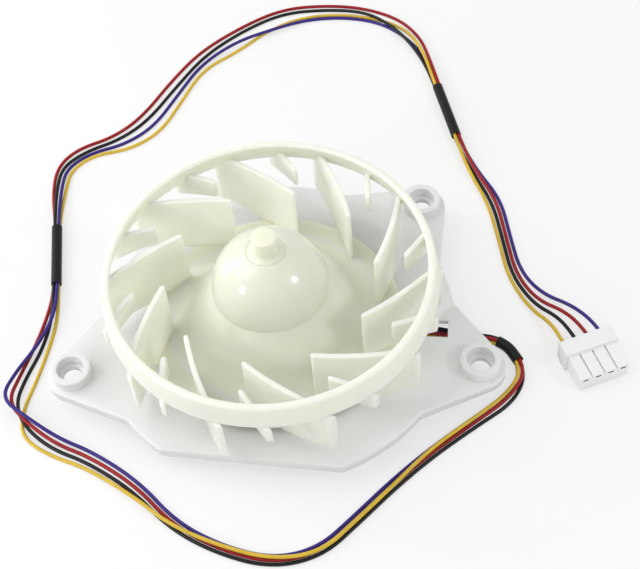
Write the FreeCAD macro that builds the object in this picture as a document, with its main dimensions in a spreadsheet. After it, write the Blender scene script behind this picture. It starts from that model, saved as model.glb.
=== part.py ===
import FreeCAD, Part
import math
import os
import re
import Sketcher

# Evaporator fan motor with its impeller, mounting plate and lead with connector.
# Millimetres, +Z up along the shaft, origin on the resting face under the shaft.

SIZES = {
    # cover and board under the plate
    "cover_gap": 5.0,
    "cover_wall": 1.8,
    "cover_floor": 1.5,
    "cover_height": 9.0,
    "cover_edge": 1.2,
    "cable_middle": -1.0,
    "cable_notch_width": 6.8,
    "cable_notch_low": 2.6,
    "board_low": 5.8,
    "board_thick": 1.6,
    "board_radius": 28.0,
    "board_bore": 6.2,
    "chip_length": 5.0,
    "chip_width": 4.0,
    "chip_height": 1.6,
    "chip_inset": 11.0,
    "chip_angle": 180.0,
    "lead_pitch": 1.27,
    "lead_length": 1.0,
    "lead_width": 0.45,
    "lead_thick": 0.25,
    "can_radius": 2.0,
    "can_length": 7.0,
    "can_bead": 0.8,
    "can_gap": 0.1,
    "can_leg": 0.5,
    "can_leg_pitch": 2.0,
    "can_reach": 1.6,
    "can_inset": 12.0,
    "can_angle": 270.0,
    "socket_overhang": 1.0,
    "socket_length": 7.0,
    "socket_width": 7.6,
    "socket_height": 3.9,
    "post_radius": 3.4,
    "post_inset": 4.5,
    "post_angle": 90.0,
    "screw_count": 3,
    "screw_radius": 1.25,
    "screw_head_radius": 2.3,
    "screw_head_height": 1.5,
    "screw_head_sink": 0.3,
    "screw_tip": 10.2,
    "screw_point": 0.8,
    "screw_drive": 2.6,
    "screw_drive_depth": 0.7,
    "screw_clearance": 0.2,
    # mounting plate
    "plate_radius": 60.5,
    "plate_thick": 2.0,
    "plate_wall": 1.8,
    "plate_rim": 1.5,
    "plate_edge": 0.8,
    "plate_corner": 4.0,
    "chord_from_angle": 228.1,
    "chord_to_angle": 286.3,
    "ear_reach": 10.0,
    "ear_radius": 8.5,
    "ear_flare_angle": 39.3,
    "ear_one_angle": -21.4,
    "ear_two_angle": 38.7,
    "ear_three_angle": 190.3,
    "ear_boss_radius": 6.65,
    "ear_boss_height": 4.0,
    "ear_cup_radius": 4.65,
    "ear_hole_radius": 3.2,
    "window_inset": 6.5,
    "window_angle": -9.9,
    "window_length": 8.0,
    "window_width": 6.7,
    "hub_boss_radius": 7.5,
    "hub_boss_height": 4.0,
    "rib_width": 1.4,
    "rib_gap": 0.6,
    "sensor_circle": 13.9,
    "sensor_angle": 135.0,
    "sensor_lift": 0.6,
    "sensor_thick": 1.5,
    "sensor_width": 4.0,
    "sensor_height": 3.0,
    "sensor_lead": 0.45,
    # bearings and shaft
    "tube_radius": 4.7,
    "tube_bore": 3.5,
    "tube_board_gap": 0.4,
    "tube_floor": 1.2,
    "tube_top": 35.0,
    "collar_radius": 6.5,
    "collar_height": 4.0,
    "shaft_radius": 1.5,
    "shaft_top": 47.0,
    "shaft_groove": 1.1,
    "running_clearance": 0.03,
    "end_clearance": 0.15,
    "bearing_length": 5.0,
    "thrust_thick": 0.8,
    "ring_height": 1.0,
    "ring_thick": 0.5,
    "ring_radius": 2.6,
    "washer_thick": 0.5,
    "washer_radius": 3.0,
    "washer_clearance": 0.2,
    "bearing_chamfer": 0.4,
    "shaft_chamfer": 0.3,
    # stator
    "core_height": 8.0,
    "core_radius": 12.5,
    "core_hub": 7.0,
    "pole_count": 4,
    "pole_width": 3.6,
    "pole_shoe": 2.2,
    "shoe_half_angle": 37.0,
    "insulator_thick": 1.0,
    "insulator_lip": 1.0,
    "lip_height": 2.2,
    "coil_thick": 2.0,
    "coil_clearance": 0.1,
    "coil_corner": 1.5,
    "coil_inner": 7.4,
    "coil_outer": 9.4,
    "pin_circle": 9.4,
    "pin_radius": 0.4,
    "pin_tail": 1.0,
    "pin_angle": 45.0,
    "pin_ear": 1.2,
    "pin_clearance": 0.1,
    # rotor
    "air_gap": 0.45,
    "magnet_thick": 2.1,
    "magnet_height": 16.0,
    "yoke_wall": 1.0,
    "yoke_corner": 1.5,
    "yoke_low": 15.6,
    "yoke_height": 23.4,
    "magnet_inset": 0.6,
    "bushing_radius": 4.0,
    "bushing_flange_radius": 6.5,
    "bushing_flange_thick": 1.2,
    "nose_radius": 2.4,
    # impeller
    "dome_radius": 19.3,
    "dome_centre": 33.0,
    "impeller_wall": 1.8,
    "hub_slope_angle": 56.1,
    "hub_curve": 15.0,
    "disc_top": 14.3,
    "disc_radius": 42.6,
    "peg_radius": 4.0,
    "peg_top": 58.3,
    "peg_edge": 0.6,
    "peg_groove_radius": 6.3,
    "peg_groove_width": 0.6,
    "peg_groove_depth": 0.35,
    "boss_radius": 6.0,
    "blade_count": 10,
    "blade_thick": 1.6,
    "blade_top": 38.3,
    "blade_tip": 34.5,
    "blade_tip_angle": 72.2,
    "blade_lean_angle": 69.6,
    "blade_curve": 110.0,
    "blade_root_low": 0.8,
    "blade_foot_gap": 1.0,
    "blade_end_step": 1.1,
    "blade_end_low": 16.8,
    "short_blade_reach": 10.7,
    "short_blade_low": 28.0,
    "short_blade_rise": 31.3,
    "short_blade_lag_angle": 2.6,
    "ring_low": 34.5,
    "ring_top": 43.0,
    "ring_foot_radius": 55.1,
    "ring_draft": 1.1,
    "ring_wall": 2.7,
    "ring_foot_wall": 1.4,
    "ring_edge": 1.0,
    # lead
    "wire_diameter": 1.3,
    "sleeve_bore": 3.5,
    "sleeve_wall": 0.15,
    "sleeve_height": 1.9,
    # connector
    "pin_pitch": 4.5,
    "pin_ways": 4,
    "plug_x": 102.2,
    "plug_y": -16.0,
    "plug_turn_angle": 15.0,
    "flange_width": 19.0,
    "flange_length": 6.0,
    "flange_height": 9.0,
    "flange_slope": 1.4,
    "tower_width": 4.0,
    "tower_length": 9.4,
    "tower_height": 7.4,
    "tower_low": 1.0,
    "tower_web": 6.2,
    "cavity_width": 2.4,
    "cavity_height": 3.4,
    "cavity_low": 3.2,
    "cavity_end": 1.2,
    "mouth_width": 1.9,
    "mouth_height": 0.7,
    "mouth_low": 5.6,
    "contact_width": 2.0,
    "contact_height": 2.8,
    "contact_wall": 0.3,
    "contact_gap": 0.2,
    "terminal_barrel_end": 7.0,
    "barrel_radius": 0.9,
    "wire_seat": 2.6,
    "plug_edge": 0.4,
}

# Sizes that follow from the driving ones, as formulas in the same sheet.
FORMULAS = {
    "board_top": "board_low + board_thick",
    "cover_radius": "board_radius + cover_gap",
    "socket_face": "board_radius + socket_overhang",
    "post_circle": "board_radius - post_inset",
    "chip_circle": "board_radius - chip_inset",
    "can_circle": "board_radius - can_inset",
    "plate_low": "cover_height",
    "plate_top": "plate_low + plate_thick",
    "rim_low": "plate_low - plate_rim",
    "hub_boss_top": "plate_top + hub_boss_height",
    "ear_boss_top": "plate_top + ear_boss_height",
    "ear_circle": "plate_radius + ear_reach",
    "window_circle": "plate_radius - window_inset",
    "ear_touch_out": "ear_circle + ear_radius * sin(ear_flare_angle)",
    "ear_touch_side": "ear_radius * cos(ear_flare_angle)",
    "ear_slant": "ear_touch_out * cos(ear_flare_angle) - ear_touch_side * sin(ear_flare_angle)",
    "ear_run": "ear_slant - sqrt(ear_slant ^ 2 - ear_touch_out ^ 2 - ear_touch_side ^ 2 + plate_radius ^ 2)",
    "ear_root_out": "ear_touch_out - ear_run * cos(ear_flare_angle)",
    "ear_root_side": "ear_touch_side + ear_run * sin(ear_flare_angle)",
    "rim_ear": "ear_radius - plate_wall",
    "rim_radius": "plate_radius - plate_wall",
    "rim_touch_out": "ear_circle + rim_ear * sin(ear_flare_angle)",
    "rim_touch_side": "rim_ear * cos(ear_flare_angle)",
    "rim_slant": "rim_touch_out * cos(ear_flare_angle) - rim_touch_side * sin(ear_flare_angle)",
    "rim_run": "rim_slant - sqrt(rim_slant ^ 2 - rim_touch_out ^ 2 - rim_touch_side ^ 2 + rim_radius ^ 2)",
    "rim_root_out": "rim_touch_out - rim_run * cos(ear_flare_angle)",
    "rim_root_side": "rim_touch_side + rim_run * sin(ear_flare_angle)",
    "chord_middle_angle": "(chord_from_angle + chord_to_angle) / 2",
    "chord_half_angle": "(chord_to_angle - chord_from_angle) / 2",
    "rim_chord_half_angle": "acos((plate_radius * cos(chord_half_angle) - plate_wall) / rim_radius) / 1 deg",
    "tube_low": "board_top + tube_board_gap",
    "tube_inside": "tube_low + tube_floor",
    "shaft_low": "tube_inside + thrust_thick + end_clearance",
    "ring_low_face": "shaft_low + ring_height",
    "ring_top_face": "ring_low_face + ring_thick",
    "lower_bearing_low": "ring_top_face + end_clearance",
    "washer_low": "tube_top - washer_thick",
    "upper_bearing_low": "washer_low - bearing_length",
    "collar_top": "hub_boss_top + collar_height",
    "core_low": "collar_top + insulator_thick",
    "core_top": "core_low + core_height",
    "stack_top": "core_top + insulator_thick",
    "magnet_radius": "core_radius + air_gap",
    "yoke_bore": "magnet_radius + magnet_thick",
    "yoke_radius": "yoke_bore + yoke_wall",
    "yoke_top": "yoke_low + yoke_height",
    "yoke_inside": "yoke_top - yoke_wall",
    "magnet_low": "yoke_low + magnet_inset",
    "flange_low": "yoke_inside - bushing_flange_thick",
    "nose_low": "tube_top + end_clearance",
    "dome_bore": "dome_radius - impeller_wall",
    "dome_top": "dome_centre + dome_radius",
    "slope_run": "(dome_centre - disc_top) / tan(hub_slope_angle)",
    "curve_end": "dome_radius + slope_run + hub_curve * tan(hub_slope_angle / 2)",
    "curve_rise": "disc_top + hub_curve * (1 - cos(hub_slope_angle))",
    "curve_start": "curve_end - hub_curve * sin(hub_slope_angle)",
    "under_curve": "hub_curve + impeller_wall",
    "under_start": "curve_end - under_curve * sin(hub_slope_angle)",
    "under_rise": "disc_top + hub_curve - under_curve * cos(hub_slope_angle)",
    "under_top": "under_rise + (under_start - dome_bore) * tan(hub_slope_angle)",
    "disc_low": "disc_top - impeller_wall",
    "groove_out": "peg_groove_radius + peg_groove_width / 2",
    "groove_in": "peg_groove_radius - peg_groove_width / 2",
    "groove_out_top": "dome_centre + sqrt(dome_radius ^ 2 - groove_out ^ 2)",
    "groove_in_top": "dome_centre + sqrt(dome_radius ^ 2 - groove_in ^ 2)",
    "groove_low": "groove_out_top - peg_groove_depth",
    "peg_low": "dome_centre + sqrt(dome_radius ^ 2 - peg_radius ^ 2)",
    "boss_top": "dome_centre + sqrt(dome_bore ^ 2 - boss_radius ^ 2)",
    "ring_top_radius": "ring_foot_radius - ring_draft",
    "blade_foot": "disc_radius + blade_foot_gap",
    "blade_end": "ring_foot_radius + blade_end_step",
    "blade_rim": "ring_foot_radius - 0.8 * ring_foot_wall",
    "blade_reach": "blade_end + blade_thick",
    "trim_out": "blade_reach + blade_thick",
    "trim_top": "blade_top + 1",
    "short_blade_tip": "ring_foot_radius - short_blade_reach",
    "blade_low": "disc_top - blade_root_low",
    "blade_drift": "blade_tip * cos(blade_lean_angle)",
    "blade_offset": "blade_tip * sin(blade_lean_angle)",
    "blade_chord": "sqrt(blade_reach ^ 2 - blade_offset ^ 2) - blade_drift",
    "short_blade_angle": "blade_tip_angle - 180 / blade_count - short_blade_lag_angle",
    "short_start": "sqrt(short_blade_tip ^ 2 - blade_offset ^ 2) - blade_drift",
    "wire_radius": "wire_diameter / 2",
    "sleeve_inner": "sleeve_bore / 2",
    "sleeve_outer": "sleeve_inner + sleeve_wall",
    "plug_length": "flange_length + tower_length",
    "cavity_middle": "cavity_low + cavity_height / 2",
    "screw_seat": "screw_head_sink + screw_head_height",
    "screw_shank": "screw_tip - screw_seat - screw_point",
}

# Control points of each wire's route, from the board socket to its terminal.
ROUTES = {
    "wire_yellow": [
        (29.1, -3.2, 3.8), (39.7, -3.6, 3.0), (51.8, -5.6, 1.8), (63.8, -8.5, 1.2),
        (75.4, -11.9, 1.9), (80.4, -23.4, 2.6), (73.9, -32.3, 2.2), (61.1, -40.3, 2.1),
        (45.6, -50.0, 2.05), (32.9, -61.1, 2.05), (20.4, -71.7, 2.05), (7.8, -82.0, 2.05),
        (-7.9, -82.6, 2.05), (-24.2, -75.9, 2.05), (-39.1, -67.2, 2.1), (-50.5, -55.8, 2.0),
        (-66.5, -42.6, 0.65), (-78.5, -36.8, 0.65), (-88.2, -28.6, 0.65), (-88.2, -18.6, 0.65),
        (-84.0, -7.0, 0.65), (-80.6, 4.0, 0.65), (-77.4, 17.0, 0.75), (-77.3, 30.5, 1.22),
        (-77.9, 61.5, 1.2), (-76.0, 77.5, 0.8), (-74.2, 88.0, 0.65), (-65.0, 94.5, 0.65),
        (-51.5, 95.5, 0.65), (-39.5, 103.0, 0.65), (-31.0, 118.0, 0.65), (-22.0, 134.5, 0.65),
        (-7.0, 143.0, 0.65), (6.0, 153.5, 0.65), (21.0, 159.0, 0.65), (37.0, 158.0, 0.65),
        (51.0, 153.2, 0.65), (61.8, 144.6, 1.5), (66.8, 130.5, 2.3), (68.8, 113.0, 2.6),
        (73.1, 81.5, 2.6), (75.5, 66.0, 1.9), (80.4, 50.5, 0.65), (81.6, 33.0, 0.65),
        (82.2, 16.0, 0.65), (87.5, 1.5, 0.9), (93.0, -6.5, 3.0), (95.1, -15.4, 4.9),
        (96.3, -20.2, 4.9),
    ],
    "wire_black": [
        (29.1, -0.3, 3.8), (40.1, -0.7, 4.0), (52.3, -3.5, 3.5), (64.2, -7.1, 2.64),
        (77.0, -10.1, 1.9), (81.9, -23.6, 1.2), (76.0, -34.6, 0.7), (62.3, -42.3, 0.65),
        (46.8, -51.8, 0.65), (33.4, -61.7, 0.65), (20.9, -72.3, 0.65), (8.1, -82.7, 0.65),
        (-8.2, -84.8, 0.65), (-25.2, -77.8, 0.65), (-39.5, -67.6, 0.65), (-51.0, -53.0, 0.65),
        (-66.2, -40.6, 0.65), (-77.6, -34.6, 0.8), (-86.4, -26.4, 2.05), (-90.6, -16.2, 2.0),
        (-87.6, -5.0, 0.65), (-82.8, 5.0, 0.65), (-79.4, 17.0, 1.2), (-78.7, 30.5, 2.6),
        (-79.3, 61.5, 2.6), (-79.2, 77.5, 1.9), (-77.7, 89.8, 0.65), (-68.5, 96.8, 0.65),
        (-56.0, 100.8, 0.65), (-44.5, 109.5, 0.65), (-32.5, 127.0, 0.65), (-20.5, 143.0, 0.65),
        (-3.0, 155.5, 0.65), (13.0, 162.5, 0.65), (30.0, 162.0, 0.65), (45.0, 157.2, 2.05),
        (54.0, 149.5, 2.1), (60.8, 139.4, 2.0), (66.2, 127.0, 0.9), (68.8, 113.0, 1.2),
        (73.1, 81.5, 1.2), (76.9, 66.0, 0.8), (82.1, 50.5, 0.65), (83.0, 33.0, 0.65),
        (83.7, 16.5, 0.65), (89.0, 3.5, 0.9), (96.0, -4.5, 3.0), (99.3, -14.0, 4.9),
        (100.7, -19.0, 4.9),
    ],
    "wire_red": [
        (29.1, -1.7, 3.8), (39.9, -2.2, 4.0), (51.7, -5.7, 3.5), (63.8, -8.5, 2.64),
        (76.2, -11.0, 2.95), (82.0, -23.6, 2.66), (74.8, -33.3, 1.5), (61.5, -41.0, 0.65),
        (46.0, -50.6, 0.65), (32.5, -60.6, 0.65), (20.0, -71.2, 0.65), (7.5, -81.3, 0.65),
        (-8.0, -83.3, 0.65), (-24.5, -76.5, 0.65), (-38.5, -66.5, 0.65), (-50.0, -51.3, 0.65),
        (-65.2, -38.8, 0.65), (-76.6, -32.8, 1.2), (-86.2, -24.6, 3.45), (-92.8, -15.6, 3.35),
        (-89.8, -4.0, 0.65), (-85.6, 6.0, 0.65), (-81.7, 17.5, 0.65), (-78.7, 30.5, 1.22),
        (-79.3, 61.5, 1.2), (-80.9, 77.0, 0.8), (-79.5, 90.5, 0.65), (-71.5, 98.6, 0.65),
        (-58.5, 102.5, 0.65), (-47.0, 111.5, 0.65), (-34.0, 131.0, 0.65), (-22.0, 145.5, 0.65),
        (-4.0, 157.6, 0.65), (12.5, 165.0, 0.65), (30.0, 164.6, 0.65), (46.0, 160.6, 0.65),
        (59.5, 152.0, 0.65), (66.5, 140.0, 1.0), (68.5, 128.0, 2.0), (70.2, 113.2, 2.6),
        (74.5, 81.7, 2.6), (77.6, 66.5, 2.0), (83.7, 51.3, 0.8), (84.4, 33.5, 0.65),
        (85.2, 17.0, 0.65), (90.5, 5.0, 0.9), (99.0, -2.6, 3.0), (103.5, -12.4, 4.9),
        (105.0, -17.8, 4.9),
    ],
    "wire_blue": [
        (29.1, 1.2, 3.8), (40.3, 0.7, 3.0), (52.2, -3.6, 1.8), (64.2, -7.1, 1.2),
        (76.2, -11.0, 0.88), (80.3, -23.4, 1.15), (73.6, -32.0, 0.65), (60.7, -39.7, 0.65),
        (45.2, -49.4, 0.65), (31.6, -59.5, 0.65), (19.1, -70.1, 0.65), (6.9, -79.9, 0.65),
        (-7.8, -81.8, 0.65), (-23.8, -75.2, 0.65), (-37.5, -65.4, 0.65), (-49.0, -49.9, 0.65),
        (-64.0, -37.2, 0.65), (-75.6, -31.0, 1.6), (-86.4, -23.0, 4.85), (-95.0, -14.5, 4.5),
        (-91.0, -3.6, 2.4), (-84.0, 6.5, 2.3), (-78.4, 17.5, 3.1), (-77.3, 30.5, 2.6),
        (-77.9, 61.5, 2.6), (-77.5, 77.5, 1.95), (-75.9, 89.0, 0.65), (-66.8, 95.6, 0.65),
        (-53.6, 98.3, 0.65), (-42.0, 106.3, 0.65), (-32.3, 122.0, 0.65), (-22.6, 137.5, 0.65),
        (-8.0, 147.0, 2.05), (6.5, 151.9, 2.05), (21.5, 157.2, 0.65), (37.0, 156.4, 0.65),
        (50.4, 151.6, 0.65), (59.8, 142.9, 0.65), (66.9, 130.0, 0.7), (70.2, 113.2, 1.2),
        (74.5, 81.7, 1.2), (78.8, 66.5, 0.8), (85.2, 51.9, 0.65), (85.9, 34.5, 0.65),
        (86.8, 18.5, 0.65), (92.5, 7.5, 0.9), (102.0, -0.5, 3.0), (107.7, -10.6, 4.9),
        (109.4, -16.7, 4.9),
    ],
}

# The bundle's middle line at the bent sleeve, the shares of its arc and of its last run where
# that sleeve starts and ends, and the ends of the two straight ones.
BEND = [(64.0, -7.8, 1.9), (76.2, -11.0, 1.9), (81.2, -23.5, 1.9)]
BEND_START = 0.35
BEND_END = 0.7
SLEEVE_LEFT = [(-78.04, 32.8), (-78.56, 59.3)]
SLEEVE_TOP = [(69.83, 110.7), (73.47, 84.0)]

# An arc takes this share of the shorter of its two runs.
ARC_SHARE = 0.45
LEAST_CUT = 1e-3
EDGE_TOLERANCE = 1e-4

# The plate's outer corners stand no further than this inside its radius.
CORNER_DEPTH = 1.0

doc = FreeCAD.newDocument("EvaporatorFanMotor")
sheet = doc.addObject("Spreadsheet::Sheet", "Sizes")
EARS = ("ear_one_angle", "ear_two_angle", "ear_three_angle")
PARTS = []


def fill_sheet():
    """Write the driving sizes as plain numbers, then the formulas that follow from them."""
    rows = list(SIZES.items()) + [(name, f"={text}") for name, text in FORMULAS.items()]
    for row, (name, content) in enumerate(rows, 1):
        sheet.set(f"A{row}", name)
        sheet.set(f"B{row}", str(content))
        sheet.setAlias(f"B{row}", name)
    doc.recompute()


def bound(text):
    """The formula with each size's name replaced by its cell on the sheet."""
    return re.sub(r"[a-z][a-z_]*[a-z]", lambda word: cell(word.group()), str(text))


def cell(word):
    return f"Sizes.{word}" if word in SIZES or word in FORMULAS else word


def value(text):
    return float(sheet.evalExpression(bound(text)))


def plane(body, role):
    return next(feature for feature in body.Origin.OriginFeatures if feature.Role == role)


def new_body(name):
    body = doc.addObject("PartDesign::Body", name)
    body.Label = name
    PARTS.append(body)
    return body


def new_sketch(body, name, role="XY_Plane", height="0"):
    """A sketch on one of the body's origin planes, moved along that plane's normal."""
    sketch = body.newObject("Sketcher::SketchObject", name)
    sketch.AttachmentSupport = [(plane(body, role), "")]
    sketch.MapMode = "FlatFace"
    sketch.setExpression("AttachmentOffset.Base.z", bound(height))
    return sketch


def fix(sketch, kind, geometry, point, text):
    """Hold a point's distance from the sketch origin to a formula."""
    index = sketch.addConstraint(Sketcher.Constraint(kind, -1, 1, geometry, point, value(text)))
    sketch.setExpression(f"Constraints[{index}]", bound(text))


def hold_radius(sketch, geometry, text):
    index = sketch.addConstraint(Sketcher.Constraint("Radius", geometry, value(text)))
    sketch.setExpression(f"Constraints[{index}]", bound(text))


def arc_between(start, end, radius, side):
    """The shorter arc from start to end: side 1 bulges to the right of the way, -1 to the left."""
    half = (end - start) * 0.5
    across = FreeCAD.Vector(-half.y, half.x, 0).normalize()
    reach = math.sqrt(max(radius ** 2 - half.Length ** 2, 0))
    centre = start + half + across * (reach * side)
    first, last = (start, end) if side > 0 else (end, start)
    angles = [math.atan2(p.y - centre.y, p.x - centre.x) for p in (first, last)]
    if angles[1] < angles[0]:
        angles[1] += 2 * math.pi
    circle = Part.Circle(centre, FreeCAD.Vector(0, 0, 1), radius)
    return Part.ArcOfCircle(circle, angles[0], angles[1])


def outline(sketch, corners, arcs=None):
    """A closed outline through corners given as formulas; arcs maps an edge to (radius, side)."""
    arcs = arcs or {}
    points = [FreeCAD.Vector(value(x), value(y), 0) for x, y in corners]
    ends = []
    for index, start in enumerate(points):
        end = points[(index + 1) % len(points)]
        if index in arcs:
            radius, side = arcs[index]
            edge = sketch.addGeometry(arc_between(start, end, value(radius), side), False)
            ends.append((edge, 1, 2) if side > 0 else (edge, 2, 1))
        else:
            edge = sketch.addGeometry(Part.LineSegment(start, end), False)
            ends.append((edge, 1, 2))
    for index, (edge, _, last) in enumerate(ends):
        following, first, _ = ends[(index + 1) % len(ends)]
        sketch.addConstraint(Sketcher.Constraint("Coincident", edge, last, following, first))
    for (edge, first, _), (x, y) in zip(ends, corners):
        fix(sketch, "DistanceX", edge, first, x)
        fix(sketch, "DistanceY", edge, first, y)
    for index, (radius, _) in arcs.items():
        hold_radius(sketch, ends[index][0], radius)


def circle(sketch, x, y, radius):
    centre = FreeCAD.Vector(value(x), value(y), 0)
    edge = sketch.addGeometry(Part.Circle(centre, FreeCAD.Vector(0, 0, 1), value(radius)), False)
    fix(sketch, "DistanceX", edge, 3, x)
    fix(sketch, "DistanceY", edge, 3, y)
    hold_radius(sketch, edge, radius)


def rectangle(sketch, left, right, low, high):
    outline(sketch, [(left, low), (right, low), (right, high), (left, high)])


def rounded_rectangle(sketch, left, right, low, high, corner):
    corners = [
        (f"{left} + {corner}", low), (f"{right} - {corner}", low),
        (right, f"{low} + {corner}"), (right, f"{high} - {corner}"),
        (f"{right} - {corner}", high), (f"{left} + {corner}", high),
        (left, f"{high} - {corner}"), (left, f"{low} + {corner}"),
    ]
    outline(sketch, corners, {index: (corner, 1) for index in (1, 3, 5, 7)})


def turned(out, side, angle):
    """A point given along and across the direction at angle, as a pair of formulas."""
    x = f"({out}) * cos({angle}) - ({side}) * sin({angle})"
    y = f"({out}) * sin({angle}) + ({side}) * cos({angle})"
    return x, y


def feature(body, kind, name, sketch):
    doc.recompute()
    made = body.newObject(f"PartDesign::{kind}", name)
    made.Profile = sketch
    sketch.Visibility = False
    return made


def pad(body, sketch, length, name):
    made = feature(body, "Pad", name, sketch)
    made.setExpression("Length", bound(length))
    return made


def pocket(body, sketch, length, name):
    """Cut from the sketch against its normal."""
    made = feature(body, "Pocket", name, sketch)
    made.setExpression("Length", bound(length))
    return made


def spin(body, sketch, name, kind="Revolution", role="Z_Axis"):
    made = feature(body, kind, name, sketch)
    made.ReferenceAxis = (plane(body, role), [""])
    made.Angle = 360
    return made


def around(body, originals, count, name):
    """Repeat features round the body's Z axis."""
    doc.recompute()
    made = body.newObject("PartDesign::PolarPattern", name)
    made.Originals = originals
    made.Axis = (plane(body, "Z_Axis"), [""])
    made.Angle = 360
    made.setExpression("Occurrences", bound(count))
    body.Tip = made
    return made


def in_row(body, originals, step, count, name, role="X_Axis"):
    """Repeat features along one of the body's axes."""
    doc.recompute()
    made = body.newObject("PartDesign::LinearPattern", name)
    made.Originals = originals
    made.Direction = (plane(body, role), [""])
    made.Mode = "Spacing"
    made.setExpression("Offset", bound(step))
    made.setExpression("Occurrences", bound(count))
    body.Tip = made
    return made


def edges_where(shape, test):
    return [f"Edge{index}" for index, edge in enumerate(shape.Edges, 1) if test(edge)]


def round_edges(body, base, test, radius, name):
    """Round the edges of a feature that pass the test."""
    doc.recompute()
    made = body.newObject("PartDesign::Fillet", name)
    made.Base = (base, edges_where(base.Shape, test))
    made.setExpression("Radius", bound(radius))
    return made


def at_level(edge, level):
    box = edge.BoundBox
    return abs(box.ZMin - level) < EDGE_TOLERANCE and abs(box.ZMax - level) < EDGE_TOLERANCE


def ring_profile(body, name, inner, outer, low, high):
    """A plain ring round the Z axis."""
    sketch = new_sketch(body, f"{name}_section", "XZ_Plane")
    rectangle(sketch, inner, outer, low, high)
    return spin(body, sketch, name)


def build_cover():
    body = new_body("back_cover")
    section = new_sketch(body, "cover_section", "XZ_Plane")
    corners = [
        ("0", "0"), ("cover_radius - cover_edge", "0"), ("cover_radius", "cover_edge"),
        ("cover_radius", "cover_height"), ("cover_radius - cover_wall", "cover_height"),
        ("cover_radius - cover_wall", "cover_floor"), ("0", "cover_floor"),
    ]
    outline(section, corners, {1: ("cover_edge", 1)})
    spin(body, section, "cover_cup")
    posts = new_sketch(body, "post_outlines")
    for x, y in screw_places():
        circle(posts, x, y, "post_radius")
    pad(body, posts, "board_low", "screw_posts")
    holes = new_sketch(body, "screw_holes_outline", height="board_low")
    recesses = new_sketch(body, "head_recess_outline", height="screw_seat")
    for x, y in screw_places():
        circle(holes, x, y, "screw_radius + screw_clearance")
        circle(recesses, x, y, "screw_head_radius + screw_clearance")
    pocket(body, holes, "board_low + 1", "screw_holes")
    pocket(body, recesses, "screw_seat + 1", "head_recesses")
    notch = new_sketch(body, "notch_outline", height="cover_height + 1")
    rectangle(notch, "cover_radius - 2 * cover_wall", "cover_radius + 1",
              "cable_middle - cable_notch_width / 2", "cable_middle + cable_notch_width / 2")
    pocket(body, notch, "cover_height + 1 - cable_notch_low", "cable_notch")


def screw_places():
    count = SIZES["screw_count"]
    turns = [f"(post_angle + {index} * 360 / screw_count)" for index in range(count)]
    return [turned("post_circle", "0", turn) for turn in turns]


def build_board():
    body = new_body("circuit_board")
    disc = new_sketch(body, "board_outline", height="board_low")
    circle(disc, "0", "0", "board_radius")
    circle(disc, "0", "0", "board_bore")
    for x, y in screw_places():
        circle(disc, x, y, "screw_radius + screw_clearance")
    pad(body, disc, "board_thick", "board_disc")
    hole = new_sketch(body, "pin_hole_outline", height="board_top")
    x, y = turned("pin_circle", "0", "pin_angle")
    circle(hole, x, y, "pin_radius + pin_clearance")
    holes = pocket(body, hole, "board_thick + 1", "pin_hole")
    around(body, [holes], "pole_count", "pin_holes")


def build_chip():
    """The motor driver in its moulded case, hanging from the board's underside."""
    body = new_body("driver_chip")
    case = new_sketch(body, "case_outline", height="-chip_height")
    rectangle(case, "-chip_length / 2", "chip_length / 2", "-chip_width / 2", "chip_width / 2")
    pad(body, case, "chip_height - lead_thick / 2", "case")
    lead = new_sketch(body, "lead_outline", height="-lead_thick")
    rectangle(lead, "-1.5 * lead_pitch - lead_width / 2", "-1.5 * lead_pitch + lead_width / 2",
              "-chip_width / 2 - lead_length", "chip_width / 2 + lead_length")
    leads = pad(body, lead, "lead_thick", "lead_pair")
    in_row(body, [leads], "lead_pitch", "4", "leads")
    body.Placement = on_board("chip_circle", "chip_angle")


def on_board(out, angle):
    """A place on the board's underside, turned to face the centre."""
    x, y = turned(out, "0", angle)
    spot = FreeCAD.Vector(value(x), value(y), value("board_low"))
    return FreeCAD.Placement(spot, FreeCAD.Rotation(FreeCAD.Vector(0, 0, 1), value(angle)))


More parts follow.
